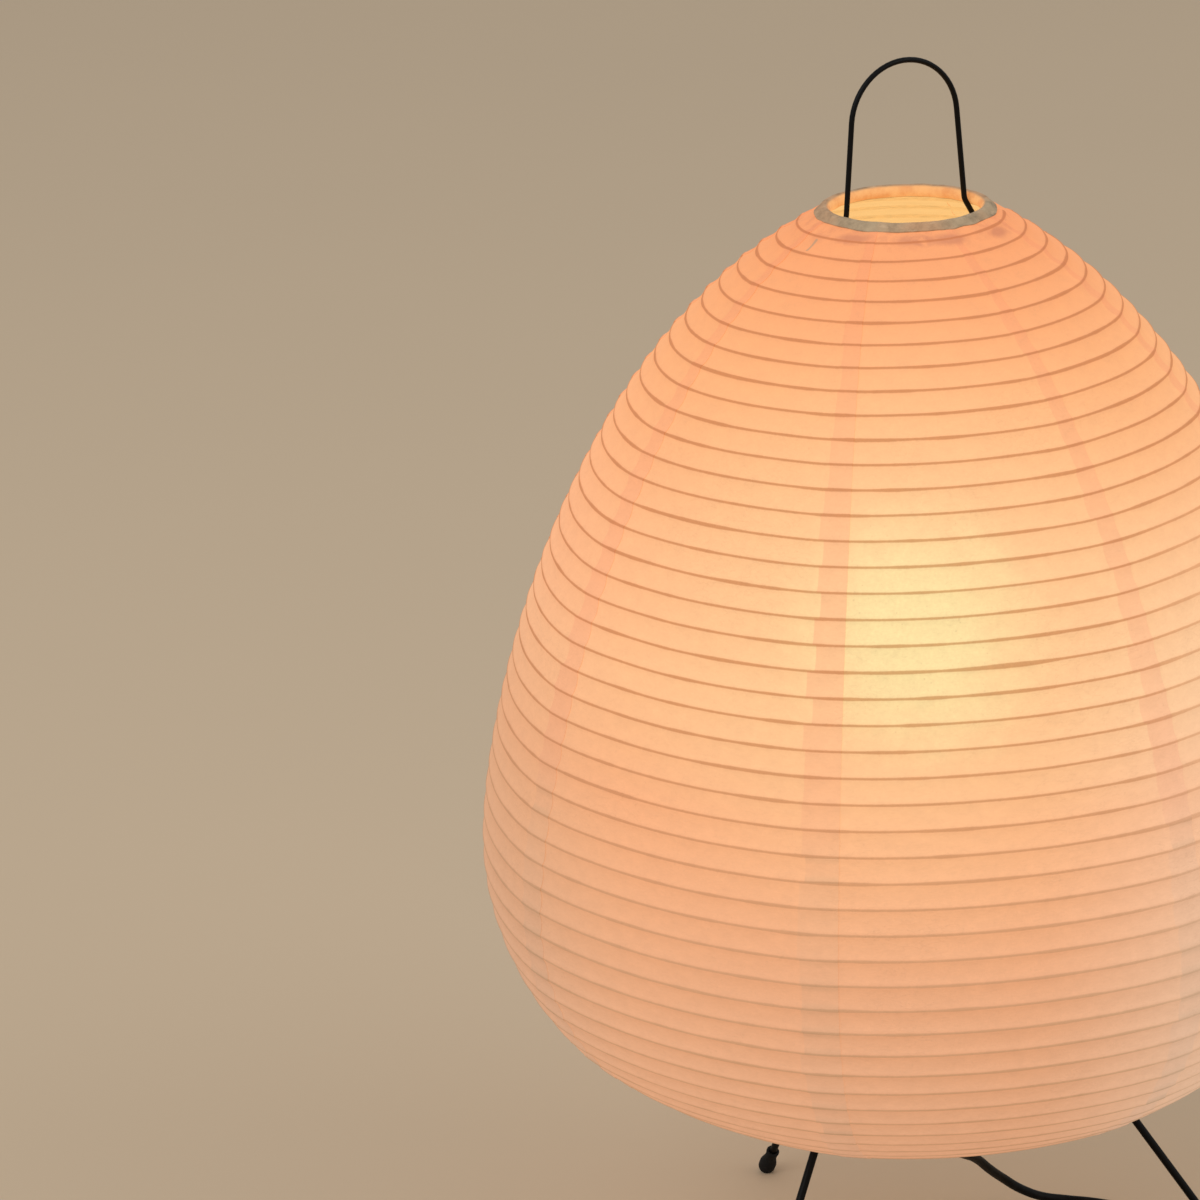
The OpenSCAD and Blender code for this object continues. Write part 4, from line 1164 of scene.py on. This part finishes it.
def addHolder():
    low = holder["capLow"]
    r = holder["radius"]
    cap = turned("holderCap", [
        (5.05 * mm, low), (12.6 * mm, low), (13.5 * mm, low + 0.3 * mm),
        (17 * mm, low + 3 * mm), (18.9 * mm, low + 6.6 * mm), (19.4 * mm, low + 8.2 * mm),
        (19.4 * mm, low + 18.4 * mm), (r, low + 19 * mm), (r, low + 21 * mm),
        (r - 0.4 * mm, low + 21.4 * mm), (15.4 * mm, low + 21.4 * mm),
        (15.4 * mm, low + 13.6 * mm), (12.6 * mm, low + 13.6 * mm),
        (13 * mm, low + 7 * mm), (11.5 * mm, low + 3 * mm), (5.05 * mm, low + 3 * mm),
        (5.05 * mm, low),
    ], 120)

    def flute(face):
        turn = math.atan2(face.center.y, face.center.x) * holder["flutes"] / math.pi
        reach = math.hypot(face.center.x, face.center.y)
        inBand = low + 8.3 * mm < face.center.z < low + 18.3 * mm
        return inBand and reach > 18 * mm and math.floor(turn) % 2 == 0

    pick(cap, "polygons", flute)
    bpy.ops.mesh.inset(thickness=0.2 * mm)
    bpy.ops.transform.shrink_fatten(value=-holder["fluteDeep"])
    leaveEdit()
    rounded(cap, 0.18 * mm, 2, 35)
    finished(cap, holderPlastic, replaced=("holder_cap",))

    low, high, bore = holder["bodyLow"], holder["bodyHigh"], holder["bore"]
    body = turned("holderBody", [
        (bore, low), (r, low), (r, low + 3 * mm), (r - 0.7 * mm, low + 3.7 * mm),
        (r - 0.7 * mm, low + 5 * mm), (r, low + 5.7 * mm), (r, low + 12 * mm),
        (r - 0.35 * mm, low + 12.35 * mm), (r, low + 12.7 * mm), (r, low + 15 * mm),
        (r - 0.35 * mm, low + 15.35 * mm), (r, low + 15.7 * mm),
        (r - 0.5 * mm, high - 1.6 * mm), (r - 1.3 * mm, high - 0.4 * mm),
        (r - 2 * mm, high), (bore + 1 * mm, high), (bore, high - 0.8 * mm), (bore, low),
    ], 96)
    rounded(body, 0.15 * mm, 2, 35)
    finished(body, holderPlastic, replaced=("holder_body",))


addHolder()


# Screw threads: the holder's shell and the bulb's cap share one pitch
thread = {
    "pitch": 3.6289 * mm,       # what one turn of the bulb lifts it
    "depth": 0.42 * mm,
    "shellRadius": 13.96 * mm,
    "shellDepth": 0.30 * mm,
    "shellWall": 0.5 * mm,
    "capRadius": 12.72 * mm,
    "shift": 0.35,
}


def threadWave(angle, height):
    phase = 2 * math.pi * (height / thread["pitch"] + thread["shift"]) - angle
    return np.cos(phase)


def addShell():
    low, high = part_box("holder_shell")
    tall = high.z - low.z - 1 * mm

    def place(u, v):
        angle = 2 * math.pi * u
        height = tall * v
        ends = np.clip(np.minimum(v, 1 - v) / 0.06, 0, 1)
        radius = thread["shellRadius"] + thread["shellDepth"] * threadWave(angle, height) * ends
        return around(radius, angle, low.z + 0.5 * mm + height)

    piece = wound("holderShell", 96, 96, place)
    applied(piece, "SOLIDIFY", thickness=thread["shellWall"] / 2, offset=0)
    finished(piece, brass, replaced=("holder_shell",), smooth=60)


bulb = {
    "inset": 2 * mm,      # how much narrower the cap begins than it is wide
    "flare": 2 * mm,      # the height over which it widens
    "lip": 1.5 * mm,
    "mouth": 12.2 * mm,
    "join": -40,          # degrees, where the globe runs out into the neck
    "waist": 14 * mm,
    "neck": 13.0 * mm,
}


def addBulb():
    low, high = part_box("bulb_cap")
    tall = high.z - low.z
    shoulder = high.x - bulb["inset"]
    flare, lip, waist, neck = (bulb[name] for name in ("flare", "lip", "waist", "neck"))

    def place(u, v):
        angle = 2 * math.pi * u
        height = np.clip((v - 0.04) / 0.90, 0, 1) * tall
        threaded = np.clip((height - 1.6 * mm) / mm, 0, 1) * np.clip((tall - lip - height) / mm, 0, 1)
        radius = thread["capRadius"] + thread["depth"] * threadWave(angle, height) * threaded
        radius = np.where(height < flare, shoulder + (radius - shoulder) * height / flare, radius)
        radius = np.where(v < 0.035, 0.0, radius)
        radius = np.where(v > 0.96, bulb["mouth"], radius)
        radius = np.where(v > 0.985, 0.0, radius)
        inner = np.where(v > 0.985, -3 * mm, 0.0)
        return around(radius, angle, low.z + height + inner)

    cap = wound("bulbCap", 96, 110, place)
    finished(cap, rolledCap, "bulb", ("bulb_cap",), smooth=60)

    low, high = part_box("bulb_glass")
    globe = high.x
    centre = high.z - globe
    join = math.radians(bulb["join"])
    arc = [(globe * math.cos(a), centre + globe * math.sin(a))
           for a in np.linspace(math.pi / 2, join, 34)]
    flank = bezier((
        (globe * math.cos(join), centre + globe * math.sin(join)),
        (globe * math.cos(join) + waist * math.sin(join),
         centre + globe * math.sin(join) - waist * math.cos(join)),
        (neck, low.z + waist),
        (neck, low.z + 0.1 * mm),
    ), 16)
    arc[0] = (0, high.z)
    curve = arc + [tuple(p) for p in flank[1:]] + [(0, low.z + 0.1 * mm)]
    glass = turned("bulbGlass", curve, 72)
    finished(glass, frosted, "bulb", ("bulb_glass",), smooth=50)


addShell()
addBulb()
print("lampholder and bulb made")


# Strain relief under the hub, ribbed and tapered
relief = {
    "rings": 6,
    "tip": 2.25 * mm,
    "root": 4.5 * mm,
    "flange": 6.5 * mm,
    "flangeThick": 3 * mm,
}


def addRelief():
    low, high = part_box("cord_relief")
    shoulder = high.z - relief["flangeThick"]
    taper = shoulder - 2 * mm - low.z
    points = [(0, low.z), (relief["tip"] - 0.3 * mm, low.z), (relief["tip"], low.z + 0.4 * mm)]
    for ring in range(relief["rings"]):
        at = low.z + taper * (0.12 + 0.84 * ring / relief["rings"])
        wide = relief["tip"] + (relief["root"] - relief["tip"]) * (at - low.z) / taper
        step = taper * 0.84 / relief["rings"]
        points += [(wide, at), (wide - 0.65 * mm, at + 0.2 * step),
                   (wide - 0.6 * mm, at + 0.5 * step), (wide + 0.2 * mm, at + 0.7 * step)]
    points += [(relief["root"], shoulder - 1.2 * mm), (relief["root"] + 0.3 * mm, shoulder),
               (relief["flange"] - 0.4 * mm, shoulder), (relief["flange"], shoulder + 0.4 * mm),
               (relief["flange"], high.z - 0.3 * mm), (relief["flange"] - 0.3 * mm, high.z),
               (0, high.z)]
    piece = turned("cordRelief", points, 48)
    rounded(piece, 0.12 * mm, 2, 30)
    finished(piece, softPlastic, replaced=("cord_relief",))


addRelief()


# Cord switch: two moulded halves, a rocker and screws, turned to lie along the cord
switch = {
    "place": (0.066, -0.046),
    "turn": 240,               # degrees
    "long": 60 * mm,
    "wide": 22 * mm,
    "endWide": 13 * mm,
    "endBevel": 2 * mm,
    "flatHalf": 16 * mm,
    "split": 6.5 * mm,
    "joint": 0.05 * mm,        # from the split to either half
    "high": 14.5 * mm,
    "well": (15.8 * mm, 9.8 * mm, 8.1 * mm),
    "rocker": (15 * mm, 9 * mm),
    "axis": 12.5 * mm,
    "tilt": 9,                 # degrees
    "screwAt": 21 * mm,
    "screwHole": 2.5 * mm,
    "grips": (12.5 * mm, 1.6 * mm, 4),   # the first groove, their spacing and how many a side
}
screw = {
    "head": 2.3 * mm,
    "shank": 1 * mm,
    "arm": 1.3 * mm,           # half the length of the cross
    "slot": 0.275 * mm,        # half its width
}


def toSwitch(piece):
    reshape(piece, lambda p: spun(p, switch["turn"]) + (*switch["place"], 0))


def bothWays(half):
    # An outline from one half of its corners, the other half turned by 180 degrees
    return half + [(-x, -y) for x, y in half]


def switchOutline():
    long, wide, end = (switch[name] / 2 for name in ("long", "wide", "endWide"))
    flat, bevel = switch["flatHalf"], switch["endBevel"]
    return bothWays([(flat, -wide), (long - bevel, -end), (long, -end + bevel),
                     (long, end - bevel), (long - bevel, end), (flat, wide)])


def addSwitchBase():
    base = prism("switchBase", switchOutline(), 0, switch["split"] - switch["joint"])
    pick(base, "edges", lambda e: all(base.data.vertices[i].co.z < 0.1 * mm for i in e.vertices))
    bpy.ops.mesh.bevel(offset=0.9 * mm, segments=3)
    leaveEdit()
    for side in (-1, 1):
        cut(base, rod(switch["screwHole"], 4 * mm, 32, (side * switch["screwAt"], 0, 0)))
    rounded(base, 0.2 * mm, 2, 30)
    toSwitch(base)
    finished(base, switchPlastic, replaced=("switch_base",))


def addSwitchCover():
    high = switch["high"]
    cover = prism("switchCover", switchOutline(), switch["split"] + switch["joint"], high)
    top = high - 0.1 * mm
    pick(cover, "edges", lambda e: all(cover.data.vertices[i].co.z > top for i in e.vertices))
    bpy.ops.mesh.bevel(offset=1.8 * mm, segments=5)
    leaveEdit()
    pick(cover, "polygons", lambda f: f.normal.z > 0.99)
    bpy.ops.mesh.inset(thickness=2.2 * mm)
    leaveEdit()
    freshStart()
    long, wide, bottom = switch["well"]
    over = 20 * mm
    bpy.ops.mesh.primitive_cube_add(size=1, location=(0, 0, (bottom + over) / 2),
                                    scale=(long, wide, over - bottom))
    cut(cover, named("cutter"))
    first, spacing, count = switch["grips"]
    for side in (-1, 1):
        for groove in range(count):
            at = side * (first + groove * spacing)
            cut(cover, rod(0.4 * mm, 9 * mm, 16, (at, 0, high), math.pi / 2))
    rounded(cover, 0.22 * mm, 3, 40)
    toSwitch(cover)
    finished(cover, switchPlastic, replaced=("switch_cover",))


def addRocker():
    long, wide = (size / 2 for size in switch["rocker"])
    tilt = math.radians(switch["tilt"])
    rise = long * math.tan(tilt)
    middle = 1.6 * mm
    end = long - 0.5 * mm
    side = [(-long + 0.7 * mm, -1.2 * mm), (-2 * mm, -3.2 * mm), (2 * mm, -3.2 * mm),
            (long - 0.7 * mm, -1.2 * mm), (end, middle + rise)]
    count = 10
    for step in range(1, count):
        x = end * (1 - 2 * step / count)
        side.append((x, middle + rise * (abs(x) / long) ** 1.5))
    side.append((-end, middle + rise))
    rocker = prism("switchRocker", side, -wide, wide)
    rounded(rocker, 0.5 * mm, 3, 40)

    def stand(p):
        x = p[:, 0] * math.cos(tilt) + p[:, 1] * math.sin(tilt)
        z = -p[:, 0] * math.sin(tilt) + p[:, 1] * math.cos(tilt)
        return np.stack((x, -p[:, 2], switch["axis"] + z), axis=1)

    reshape(rocker, stand)
    toSwitch(rocker)
    finished(rocker, glossPlastic, "rocker", ("switch_rocker",))


def addScrews():
    # The cross of the two screws is cut once, and the second screw is a copy
    head, shank, arm, slot = (screw[name] for name in ("head", "shank", "arm", "slot"))
    near = turned("screwNear", [(0, 0.5 * mm), (head - 0.4 * mm, 0.5 * mm), (head, 0.9 * mm),
                                (head, 1.9 * mm), (shank, 1.9 * mm), (shank, 9 * mm),
                                (0, 9.3 * mm)], 36)
    cross = bothWays([(arm, -slot), (arm, slot), (slot, slot),
                      (slot, arm), (-slot, arm), (-slot, slot)])
    cut(near, prism("cutter", cross, -0.1 * mm, 1.1 * mm))
    far = copied(near, "screwFar")
    for piece, side, replaced in ((near, -1, ("switch_screws",)), (far, 1, ())):
        reshape(piece, lambda p: p + (side * switch["screwAt"], 0, 0))
        toSwitch(piece)
        finished(piece, screwSteel, replaced=replaced)


addSwitchBase()
addSwitchCover()
addRocker()
addScrews()
print("switch made")


# Plug: a moulded body that narrows into its strain relief
plug = {
    "place": (0, -0.006, 0.007),
    "relief": 20 * mm,
    "long": 55 * mm,
    "halfWide": 13.1 * mm,
    "halfThick": 7 * mm,
    "neck": 4.1 * mm,
    "tip": 2.2 * mm,
    "growth": 17 * mm,                       # the length over which the neck widens
    "rings": (0.35 * mm, 2.6 * mm),          # depth and spacing on the strain relief
    "grip": (0.30 * mm, 40 * mm, 6 * mm, 2.4 * mm),   # depth, middle, half length and spacing
    "edge": (1.6 * mm, 1.2 * mm),            # how far along and in the front edge is rounded
}


def addPlug():
    long = plug["long"]
    ringDeep, ringStep = plug["rings"]
    gripDeep, gripMiddle, gripHalf, gripStep = plug["grip"]
    edgeLong, edgeDeep = plug["edge"]

    def place(u, v):
        run = np.clip((v - 0.02) / 0.96, 0, 1) * long
        grown = np.clip((run - plug["relief"]) / plug["growth"], 0, 1)
        grown = grown * grown * (3 - 2 * grown)
        thin = plug["tip"] + (plug["neck"] - plug["tip"]) * np.clip(run / plug["relief"], 0, 1)
        rings = np.where(run < plug["relief"] - 2 * mm, ringDeep, 0)
        rings = rings * np.clip(np.sin(run / ringStep * 2 * math.pi) * 2.5, -1, 0)
        wide = thin + (plug["halfWide"] - plug["neck"]) * grown + rings
        thick = thin + (plug["halfThick"] - plug["neck"]) * grown + rings
        grip = gripDeep * np.exp(-((run - gripMiddle) / gripHalf) ** 4)
        thick = thick - grip * (0.5 - 0.5 * np.cos(run / gripStep * 2 * math.pi))
        nose = np.clip((long - run) / edgeLong, 0, 1)
        shrink = edgeDeep * (1 - np.sqrt(np.clip(1 - (1 - nose) ** 2, 0, 1)))
        wide, thick = wide - shrink, thick - shrink
        ends = np.where((v < 0.01) | (v > 0.99), 0.0, 1.0)
        power = 1 - 0.45 * grown
        angle = 2 * math.pi * u
        c, s = np.cos(angle), np.sin(angle)
        across = wide * np.sign(c) * np.abs(c) ** power * ends
        up = thick * np.sign(s) * np.abs(s) ** power * ends
        x, y, z = plug["place"]
        return np.stack((x - run, y - across, z + up), axis=1)

    piece = wound("plugBody", 64, 150, place)
    finished(piece, softPlastic, replaced=("plug_body",), smooth=50)


addPlug()


# Tie: a soft band round the turns of the coil
tie = {
    "wide": 6 * mm,
    "thick": 0.5 * mm,
    "corner": 2 * mm,
}


def addTie():
    low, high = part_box("cord_tie")
    inset = tie["thick"]
    x0, x1, z0, z1 = low.x + inset, high.x - inset, low.z + inset, high.z - inset
    c = tie["corner"]
    outline = []
    for cx, cz, first in ((x1 - c, z1 - c, 0), (x0 + c, z1 - c, 90),
                          (x0 + c, z0 + c, 180), (x1 - c, z0 + c, 270)):
        for step in range(5):
            a = math.radians(first + 22.5 * step)
            outline.append((cx + c * math.cos(a), (low.y + high.y) / 2 - tie["wide"] / 2,
                            cz + c * math.sin(a)))
    piece = drawn("cordTie", outline + outline[:1])
    bpy.ops.mesh.select_all(action="SELECT")
    bpy.ops.mesh.remove_doubles(threshold=weld)
    bpy.ops.mesh.extrude_region_move(TRANSFORM_OT_translate={"value": (0, tie["wide"], 0)})
    outward()
    applied(piece, "SOLIDIFY", thickness=tie["thick"] * 0.9, offset=1)
    rounded(piece, 0.15 * mm, 2, 60)
    finished(piece, softPlastic, replaced=("cord_tie",))


addTie()
print("plug and tie made")


# Floor, world and lamps
studio = {
    "floor": (0.548, 0.434, 0.307),
    "floorSize": 12,
    "world": 0.62,
    "skyColour": (1, 0.985, 0.96),
    "aim": (0, 0, 0.18),
    "key": {"place": (-1.6, -1.7, 2.2), "size": 1.8, "power": 34},
    "fill": {"place": (1.9, -0.9, 1.7), "size": 1.6, "power": 14},
}


def floorFinish():
    look = Finish("paleFloor", {"Specular IOR Level": 0.2})
    place = look.place()
    cloud = look.clouds(place, 3.0, 4.0)
    colour = look.blend(cloud, tuple(c * 0.985 for c in studio["floor"]),
                        tuple(c * 1.015 for c in studio["floor"]))
    fine = look.clouds(place, 260.0, 3.0)
    return look.wire(colour=colour, rough=0.82 + 0.1 * cloud, normal=look.bump(fine, 0.05, 0.2 * mm))


def addStudio():
    freshStart()
    bpy.ops.mesh.primitive_plane_add(size=studio["floorSize"], location=(0, 2, -0.1 * mm))
    ground = named("floor")
    ground.data.materials.append(floorFinish())
    world = bpy.data.worlds.new("studio")
    bpy.context.scene.world = world
    world.use_nodes = True
    sky = world.node_tree.nodes["Background"].inputs
    sky["Color"].default_value = (*studio["skyColour"], 1)
    sky["Strength"].default_value = studio["world"]
    for name in ("key", "fill"):
        lamp = studio[name]
        bpy.ops.object.light_add(type="AREA", location=lamp["place"])
        light = bpy.context.object
        light.name = name
        light.data.size = lamp["size"]
        light.data.energy = lamp["power"]
        toward = Vector(studio["aim"]) - light.location
        light.rotation_euler = toward.to_track_quat("-Z", "Y").to_euler()


addStudio()
scene = bpy.context.scene
scene.view_settings.view_transform = "Standard"
print("studio set")
